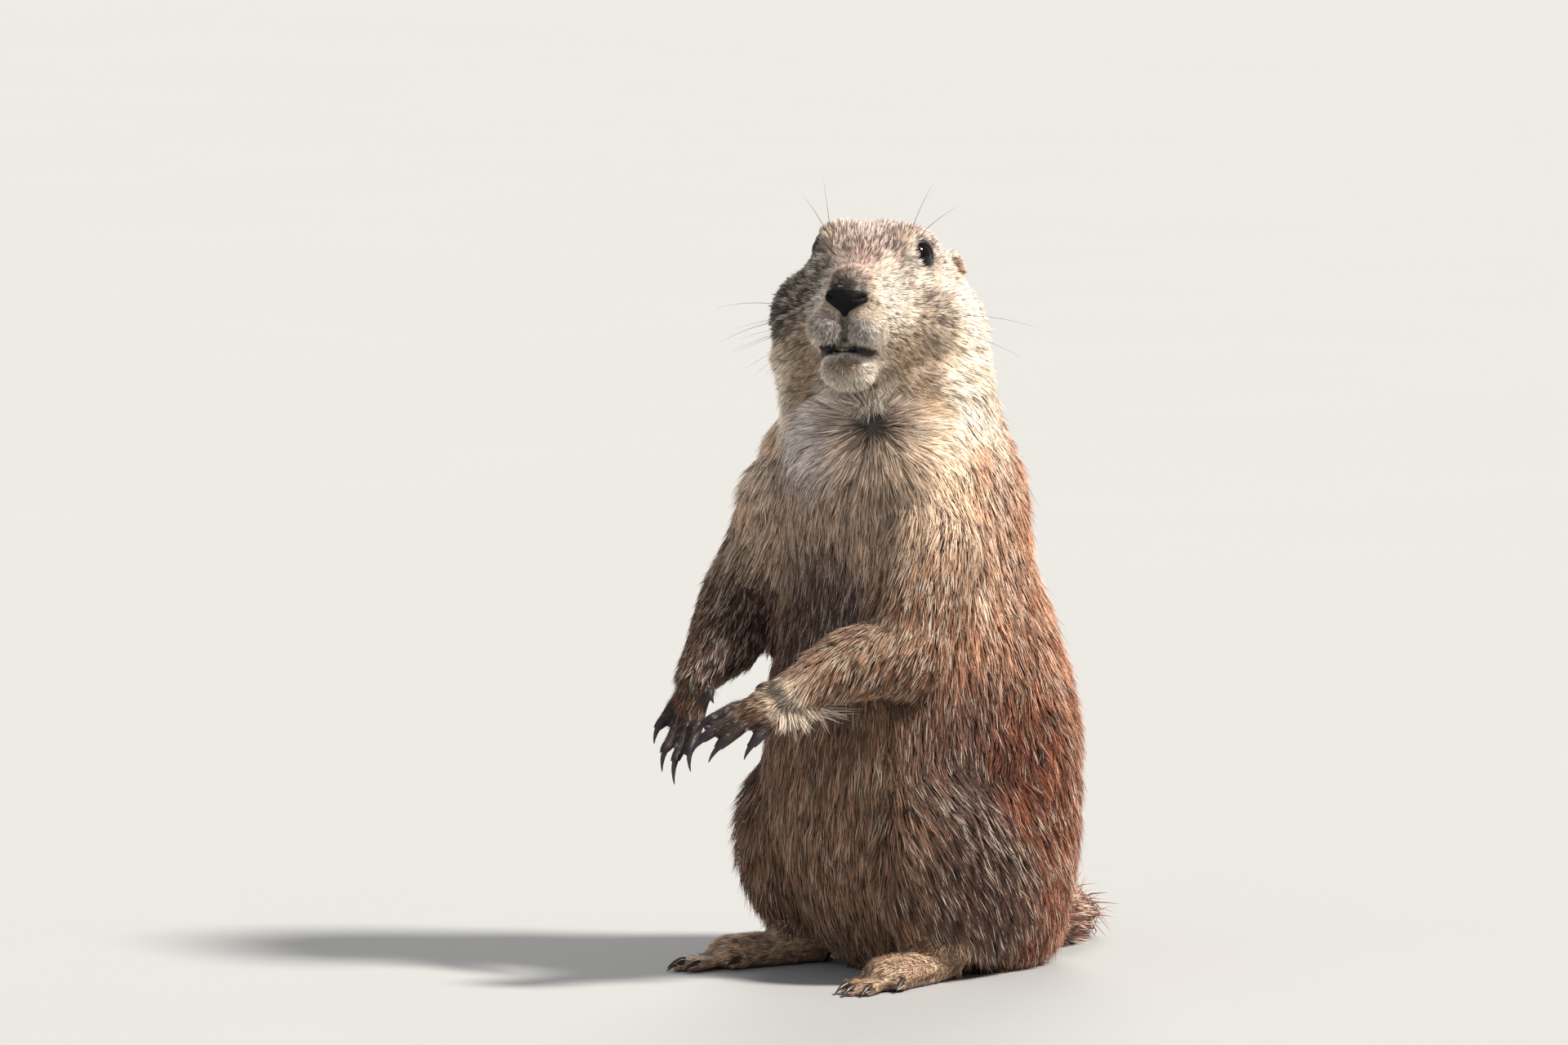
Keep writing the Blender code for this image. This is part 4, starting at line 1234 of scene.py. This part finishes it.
# %% What each piece is made of
GROOVE_BARENESS = 0.8
skin_faces = [face.vertices[:] for face in skin.data.polygons]
corners = np.array([tri for face in skin_faces for tri in
                    ([face] if len(face) == 3 else [face[:3], (face[0], face[2], face[3])])])
growth = (1 - bare) * (1 - groove * GROOVE_BARENESS)
in_front = step(front, 0.28, 0.3)
behind = 1 - in_front
face_share = 1 - step(at_head[:, 1], -14, -12)
crown_share = (1 - face_share) * step(at_head[:, 2], -2, 0)
high_up = step(at_body[:, 2], 104, 106)
low_down = 1 - high_up
COAT = (
    # Name, where it grows, tufts, kind, width in mm, lift and lean in degrees, draw to the lock.
    ("coat_face", belongs("head", "nose") * face_share, 38000, "short", 0.34, 30, 0, 0.15),
    ("coat_crown", belongs("head") * crown_share, 30000, "short", 0.42, 19, 0, 0.25),
    ("coat_cheeks", belongs("head") * (1 - face_share) * (1 - crown_share),
     22000, "long", 0.44, 32, 22, 0.3),
    ("coat_ears", belongs("ear"), 4000, "short", 0.34, 20, 0, 0.1),
    ("coat_neck", belongs("neck"), 23500, "long", 0.5, 26, 14, 0.4),
    ("coat_breast", belongs("torso") * in_front * high_up, 20500, "long", 0.45, 24, 8, 0.5),
    ("coat_belly", belongs("torso") * in_front * low_down, 16000, "long", 0.45, 22, 8, 0.4),
    ("coat_back_upper", belongs("torso") * behind * high_up, 25000, "long", 0.5, 28, 16, 0.42),
    ("coat_back_lower", belongs("torso") * behind * low_down, 25000, "long", 0.46, 28, 16, 0.45),
    ("coat_arm_left", belongs("upper_arm_left", "forearm_left"), 18000, "long", 0.5, 22, 8, 0.4),
    ("coat_fringe", fringe, 300, "long", 0.4, 34, 16, 0.8),
    ("coat_arm_right", belongs("upper_arm_right", "forearm_right"), 13000, "long", 0.5, 22, 8, 0.4),
    ("coat_haunches", belongs("haunch"), 21000, "long", 0.45, 26, 12, 0.45),
    ("coat_hands_feet", belongs("hand", "foot"), 17000, "short", 0.36, 16, 0, 0.1),
    ("coat_tail", belongs("tail"), 6000, "long", 0.7, 18, 8, 0.4),
)
print(len(COAT), "pieces,", sum(row[2] for row in COAT), "tufts")

# %% Grow them
TUFTS_TO_A_LOCK = 11
LOCK_REACH = 1.06
# The axis that each unwrap is rolled out round, where it isn't upright.
BAKE_AXES = {"coat_arm_left": (-0.4, -1, -0.6), "coat_arm_right": (0.1, -1, -1.2),
             "coat_tail": (-0.7, 0.7, 0)}
# The hairs that hang from the near wrist are longer than those they grow among.
LONGER = {"coat_fringe": 1.5}
FLOOR_CLEARANCE = 0.05 * MM
LEAST_GROWTH = 0.02
# The chance in each tuft: in its way, its length, its width, its lift and lean in degrees, and in
# how far it draws to its lock.
WAY_CHANCE = 0.1
LENGTH_CHANCE = 0.15
LENGTH_LIMITS = (0.55, 1.5)
WIDTH_RANGE = (0.7, 1.3)
WIDTH_LIMITS = (0.6, 1.1)
LIFT_CHANCE = 6
LIFT_LIMITS = (6, 60)
LEAN_CHANCE = 7
PULL_RANGE = (0.4, 1.3)
# A bend draws together less than a tip, and a short tuft is sunk less than a long one.
BEND_PULL = 0.35
SHORT_SUNK = 0.6
UNDERSIDE_TILT = 0.3


def coat_material():
    paint = Paint("coat")
    strands = paint.noise(2600.0, 2.0)
    patches = paint.noise(110.0, 2.0)
    tint = paint.lit(paint.attribute("tint"), 0.7 + strands * 0.3 + patches * 0.3)
    return paint.finish(tint, 0.5 + strands * 0.2, specular=0.25)


def grow(name, share, count, kind, width, lift, lean, pull, seed, material):
    inside = share[corners].mean(axis=1) * growth[corners].min(axis=1)
    kept = inside > LEAST_GROWTH
    roots = Roots(corners[kept], inside[kept], count, seed)
    draw = roots.draw
    root, normal = roots.of(surface.points), unit(roots.of(surface.normals))
    leader, apart = locks_of(root, TUFTS_TO_A_LOCK, draw)
    way = roots.of(ways) + draw.normal(0, WAY_CHANCE, (count, 3))
    way = laid(way + draw.normal(0, WAY_CHANCE, (count, 3))[leader], normal)
    side = np.cross(normal, way)
    length = roots.of(lengths)[:, 0] * MM * draw.normal(1, LENGTH_CHANCE, count).clip(*LENGTH_LIMITS)
    length *= LONGER.get(name, 1)
    thickening = (length / length.mean()).clip(*WIDTH_LIMITS)
    widths = width * MM * draw.uniform(*WIDTH_RANGE, count) * thickening
    rise = np.radians(draw.normal(lift, LIFT_CHANCE, count).clip(*LIFT_LIMITS))[:, None]
    fall = np.radians(draw.normal(lean, LEAN_CHANCE, count))[:, None]
    pull = (pull * draw.uniform(*PULL_RANGE, count))[:, None]
    if kind == "long":
        bend = root + (way * np.cos(rise) + normal * np.sin(rise)) * length[:, None] * BEND_SHARE
        tip = bend + (way * np.cos(fall) + normal * np.sin(fall)) * length[:, None] * (1 - BEND_SHARE)
        bend += (bend[leader] - bend) * pull * BEND_PULL
        rings = [root - normal * SUNK] + triangle_of(bend, side, normal, widths)
        tilts = (0, 1, -1, 0, 0)
    else:
        tip = root + (way * np.cos(rise) + normal * np.sin(rise)) * length[:, None]
        rings = triangle_of(root - normal * SUNK * SHORT_SUNK, side, normal, widths)
        tilts = (1, -1, 0, 0)
    common = root[leader] + (tip[leader] - root[leader]) * LOCK_REACH
    tip = tip + (common - tip) * pull
    places = np.stack(rings + [tip], axis=1)
    places[:, :, 2] = np.maximum(places[:, :, 2], FLOOR_CLEARANCE)
    facing = normal[:, None] + side[:, None] * (np.array(tilts) * SIDE_TILT)[None, :, None]
    mesh, order = solid_mesh(name, places, kind, facing, way - UNDERSIDE_TILT * normal)
    store(mesh, "tint", tuft_colours(roots, kind, leader, apart))
    axis = BAKE_AXES.get(name, (0, 0, 1))
    bake_map(mesh, order, unwrapped(root, root.mean(axis=0), axis), kind)
    mesh.materials.append(material)
    piece = linked(name, mesh)
    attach(piece, "root")
    return piece


coat = coat_material()
for index, row in enumerate(COAT):
    piece = grow(*row, FIRST_SEED + index, coat)
    print(f"{piece.name}: {len(piece.data.polygons)} triangles")

# %% [markdown]
# ## Eyes in their lids
#
# A prairie dog's eye looks all black: a very dark brown ball with a wet surface, in a black lid
# whose edge is a thin roll. The ball is a fine sphere with a high gloss. The lid's edge is a tube
# along the opening, laid on the ball, because a roll is what catches the light there.

# %% Eyeballs and lids
LID_ROLL = 0.62
LID_STANDS_OFF = 0.25
EYE_OPENING = (5.1, 4.4)
LID_SIDES = 48


def eye_frame(side):
    """A frame at an eyeball's middle whose Z looks out of the eye and whose Y is up the face."""
    gaze = (head_turn @ Vector(mirrored(EYE_GAZE, SIDES[side]))).normalized()
    across = (head_turn @ UP).cross(gaze).normalized()
    turn = Matrix((across, gaze.cross(across), gaze)).transposed()
    return Matrix.Translation(middle("eye_" + side)) @ turn.to_4x4()


eye_paint = grained("eye", 300.0, (colour(6, 5, 5), colour(16, 10, 8)), 0.04, 0.02, specular=0.22)
lid_tints = (colour(12, 10, 11), colour(34, 28, 28))
lid_paint = grained("lid", 2400.0, lid_tints, 0.3, 0.2, relief=0.05 * MM)
for side in SIDES:
    frame_of_eye = eye_frame(side)
    bm = bmesh.new()
    bmesh.ops.create_uvsphere(
        bm, u_segments=64, v_segments=40, radius=EYE_RADIUS * MM, matrix=frame_of_eye)
    eyeball = placed(bm, "eyeball_" + side)
    eyeball.data.materials.append(eye_paint)
    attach(eyeball, "root")
    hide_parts("eye_" + side)
    bm = bmesh.new()
    edge = []
    for k in range(LID_SIDES):
        angle = 2 * math.pi * k / LID_SIDES
        x, y = math.cos(angle) * EYE_OPENING[0], math.sin(angle) * EYE_OPENING[1]
        high = math.sqrt((EYE_RADIUS + LID_STANDS_OFF) ** 2 - x * x - y * y)
        edge.append(frame_of_eye @ mm(x, y, high))
    tube(bm, edge, [LID_ROLL * MM] * LID_SIDES, sides=10,
         up=frame_of_eye.to_3x3() @ UP, closed=True)
    lid = placed(bm, "lid_" + side)
    lid.data.materials.append(lid_paint)
    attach(lid, "root")
print("eyeballs of", EYE_RADIUS, "mm in radius")

# %% [markdown]
# ## The nose
#
# The bare pad is small, black and moist: a wide V with a slit of a nostril on each side and fine
# pebbles all over. Short dark hair covers the rest of the nose. The frame's own node has the whole
# nose's shape, so it is copied and remeshed finely, the V is raised through the skin, and what
# is outside it sinks under the coat.

# %% Nose pad
NOSE_VOXEL = 0.22 * MM
NOSTRIL_SLITS = ((3.8, -43.8, -12.6), (5.4, -43.0, -11.0), (7.4, -41.2, -10.4))
NOSTRIL_DEPTH = 1.3
CLEFT = ((0, -45, -12), (0, -43, -18))
CLEFT_DEPTH = 0.6
PAD_RAISED = 0.75
REST_SUNK = 1.6


def nose_piece():
    piece = placed(merged_copy("nose"), "nose_pad")
    fine = piece.modifiers.new("fine", "REMESH")
    fine.mode = "VOXEL"
    fine.voxel_size = NOSE_VOXEL
    calm = piece.modifiers.new("calm", "SMOOTH")
    calm.factor = 0.5
    calm.iterations = 10
    applied(piece)
    nose = Surface(piece.data)
    at = head_mm(nose.points)
    slits = paired(along_line, at, NOSTRIL_SLITS, 1.1, 0.2)
    cleft = rod(at, *CLEFT, 0.8, 0.1)
    pad = nose.blended(nose_shape(at), 6)
    push = PAD_RAISED * pad - REST_SUNK * (1 - pad) - NOSTRIL_DEPTH * slits - CLEFT_DEPTH * cleft
    nose.move_to(nose.points + nose.normals * push[:, None] * MM)
    return piece


def nose_material():
    paint = Paint("nose")
    pebbles = paint.node("ShaderNodeTexVoronoi", {}, {"Vector": paint.place, "Scale": 2600.0})["Distance"]
    bloom = paint.noise(500.0)
    tint = paint.mix(colour(4, 3, 4), colour(20, 16, 18), bloom * pebbles * 1.6)
    normal = paint.bump(pebbles, 0.1 * MM, 0.6)
    return paint.finish(tint, 0.46 + bloom * 0.2, normal, specular=0.13)


nose_pad_piece = nose_piece()
nose_pad_piece.data.materials.append(nose_material())
nose_pad_piece.data.shade_smooth()
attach(nose_pad_piece, "root")
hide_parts("nose")
print("the nose pad has", len(nose_pad_piece.data.polygons), "faces")

# %% [markdown]
# ## Claws
#
# The claws are horn: a very dark brown with a fine grain and a dull sheen. The frame has each
# claw's place and curve in a few faces. The copies of one hand's or foot's claws are joined and
# given a Subdivision Surface, which rounds them.

# %% Four sets of claws
claw_tints = (colour(20, 16, 17), colour(62, 50, 48))
claw_paint = grained("claw", 1400.0, claw_tints, 0.28, 0.2, detail=4.0, relief=0.05 * MM)
for part in ("hand", "foot"):
    for side in SIDES:
        names = [n for n in sorted(nodes) if n.startswith(f"claw_{part}_{side}")]
        bm = bmesh.new()
        for name in names:
            pour(merged_copy(name), bm)
        claws = placed(bm, f"claws_{part}_{side}")
        claws.data.materials.append(claw_paint)
        rounded = claws.modifiers.new("rounded", "SUBSURF")
        rounded.levels = 2
        rounded.render_levels = 2
        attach(claws, "root")
        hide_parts(*names)
print("claws replace", sum(n.startswith("claw") for n in nodes), "nodes")

# %% [markdown]
# ## Whiskers
#
# Stiff dark hairs grow in rows on the whisker pads and a few above each eye and on the cheek. Each
# is a thin tube that tapers to a fine end and curves a little back and down.

# %% Whiskers
WHISKER_ROWS = (
    # How far back, how high, how many, length, way in the head's frame.
    (-38.5, -19.5, 5, 40, (0.86, 0.32, 0.22)),
    (-38.0, -22.0, 5, 46, (0.9, 0.35, 0.02)),
    (-37.0, -25.0, 4, 36, (0.86, 0.38, -0.26)),
)
BROW_WHISKERS = (((15, -16, 16.5), 24, (0.25, 0.1, 1.0)), ((18, -12, 16.0), 20, (0.6, 0.3, 0.8)))
CHEEK_WHISKERS = (((33, -8, -12), 26, (0.95, 0.25, 0.1)), ((34, -6, -18), 22, (0.93, 0.3, -0.15)))
WHISKER_RADIUS = 0.11
WHISKER_TAPER = 0.88
WHISKER_SAG = Vector((0, 0.12, -0.16))
WHISKER_STEPS = 8
WHISKER_SEED = 5


def whisker_list(draw):
    """Root, length and way of every whisker on one side, in the head's frame."""
    found = []
    for back, high, count, length, way in WHISKER_ROWS:
        for k in range(count):
            root = (8.5 + 1.3 * k, back + 2.6 * k, high - 0.3 * k)
            spread = Vector(way) + Vector((draw.uniform(-0.12, 0.12), 0.09 * k, draw.uniform(-0.14, 0.14)))
            found.append((root, length * draw.uniform(0.6, 1.05), spread.normalized()))
    for root, length, way in BROW_WHISKERS + CHEEK_WHISKERS:
        found.append((root, length * draw.uniform(0.85, 1.1), Vector(way).normalized()))
    return found


def whiskers():
    draw = np.random.default_rng(WHISKER_SEED)
    bm = bmesh.new()
    for side in SIDES.values():
        for root, length, way in whisker_list(draw):
            way = Vector(mirrored(way, side))
            start = Vector(mirrored(root, side))
            points, radii = [], []
            for k in range(WHISKER_STEPS + 1):
                share = k / WHISKER_STEPS
                sag = WHISKER_SAG * length * share * share
                points.append(on_head(*(start + way * length * share + sag)))
                radii.append(WHISKER_RADIUS * (1 - share * WHISKER_TAPER) * MM)
            tube(bm, points, radii, sides=5, up=head_turn @ UP)
    return placed(bm, "whiskers")


whisker_tints = (colour(16, 13, 13), colour(44, 36, 32))
whisker_piece = whiskers()
whisker_piece.data.materials.append(grained("whisker", 600.0, whisker_tints, 0.35, 0.1))
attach(whisker_piece, "root")
print("whiskers:", len(whisker_piece.data.polygons), "faces")

# %% [markdown]
# ## The camera
#
# The photograph looks at the animal's left front from a little above it, through a long lens. One
# of its pixels is 0.29 mm wide at the animal, which fixes the lens once a distance is chosen. The
# pelvis stands over a known pixel, and that fixes where the camera aims.

# %% A camera that repeats the photograph's view
CAMERA_TURN = 48
CAMERA_RISE = 6
CAMERA_DISTANCE = 6.0
PIXEL = 0.29 * MM
PHOTO_SIZE = (1920, 1280)
PELVIS_PIXEL = (1105, 1185)
SENSOR = 36.0


def way_towards(azimuth, elevation):
    """The way from the model to a viewer. Azimuth 0 stands in front of it, at -Y."""
    a, e = math.radians(azimuth), math.radians(elevation)
    return Vector((math.sin(a) * math.cos(e), -math.cos(a) * math.cos(e), math.sin(e)))


towards_camera = way_towards(CAMERA_TURN, CAMERA_RISE)
camera_right = UP.cross(towards_camera).normalized()
camera_up = towards_camera.cross(camera_right)
aim = body_origin + camera_right * (PHOTO_SIZE[0] / 2 - PELVIS_PIXEL[0]) * PIXEL
aim += camera_up * (PELVIS_PIXEL[1] - PHOTO_SIZE[1] / 2) * PIXEL
lens = bpy.data.cameras.new("camera")
lens.sensor_width = SENSOR
lens.lens = SENSOR * CAMERA_DISTANCE / (PHOTO_SIZE[0] * PIXEL)
lens.clip_end = 100
camera = linked("camera", lens)
camera.location = aim + towards_camera * CAMERA_DISTANCE
camera.rotation_euler = towards_camera.to_track_quat("Z", "Y").to_euler()
bpy.context.scene.camera = camera
print("a lens of", round(lens.lens), "mm,", CAMERA_DISTANCE, "m away")

# %% [markdown]
# ## Floor and light
#
# The model stands on a plain pale floor. The photograph's sun is high on the right, so the
# strongest and warmest light is there, softened as a studio's is, with a wide faint one on the
# left that keeps the shaded side open and one behind for the edge of the coat. Lights that shine
# evenly from afar leave the floor without a hot spot. The pale world fills the rest.

# %% Floor, three lights and a pale world
FLOOR_REACH = 12.0
FLOOR_TINTS = ((0.32, 0.317, 0.31), (0.34, 0.337, 0.33))
WORLD_TINT = (0.86, 0.9, 0.95, 1.0)
WORLD_STRENGTH = 0.4
LIGHTS = (
    # Name, azimuth, elevation, how wide it looks in degrees, strength, colour.
    ("sun", 118, 48, 9, 7.2, (1.0, 0.955, 0.9)),
    ("sky", 5, 30, 60, 0.5, (0.88, 0.94, 1.0)),
    ("rim", 225, 40, 30, 1.2, (1.0, 0.96, 0.9)),
)
bm = bmesh.new()
bmesh.ops.create_grid(bm, x_segments=1, y_segments=1, size=FLOOR_REACH)
floor = placed(bm, "floor")
floor.data.materials.append(grained("floor", 6.0, FLOOR_TINTS, 0.7, 0.1))
for name, azimuth, elevation, spread, strength, tint in LIGHTS:
    light = bpy.data.lights.new(name, "SUN")
    light.angle = math.radians(spread)
    light.energy = strength
    light.color = tint
    way = way_towards(azimuth, elevation)
    linked(name, light).rotation_euler = way.to_track_quat("Z", "Y").to_euler()
world = bpy.data.worlds.new("pale room")
world.use_nodes = True
background = world.node_tree.nodes["Background"]
background.inputs["Color"].default_value = WORLD_TINT
background.inputs["Strength"].default_value = WORLD_STRENGTH
bpy.context.scene.world = world
bpy.context.scene.view_settings.view_transform = "Standard"
print(len(LIGHTS), "lights")
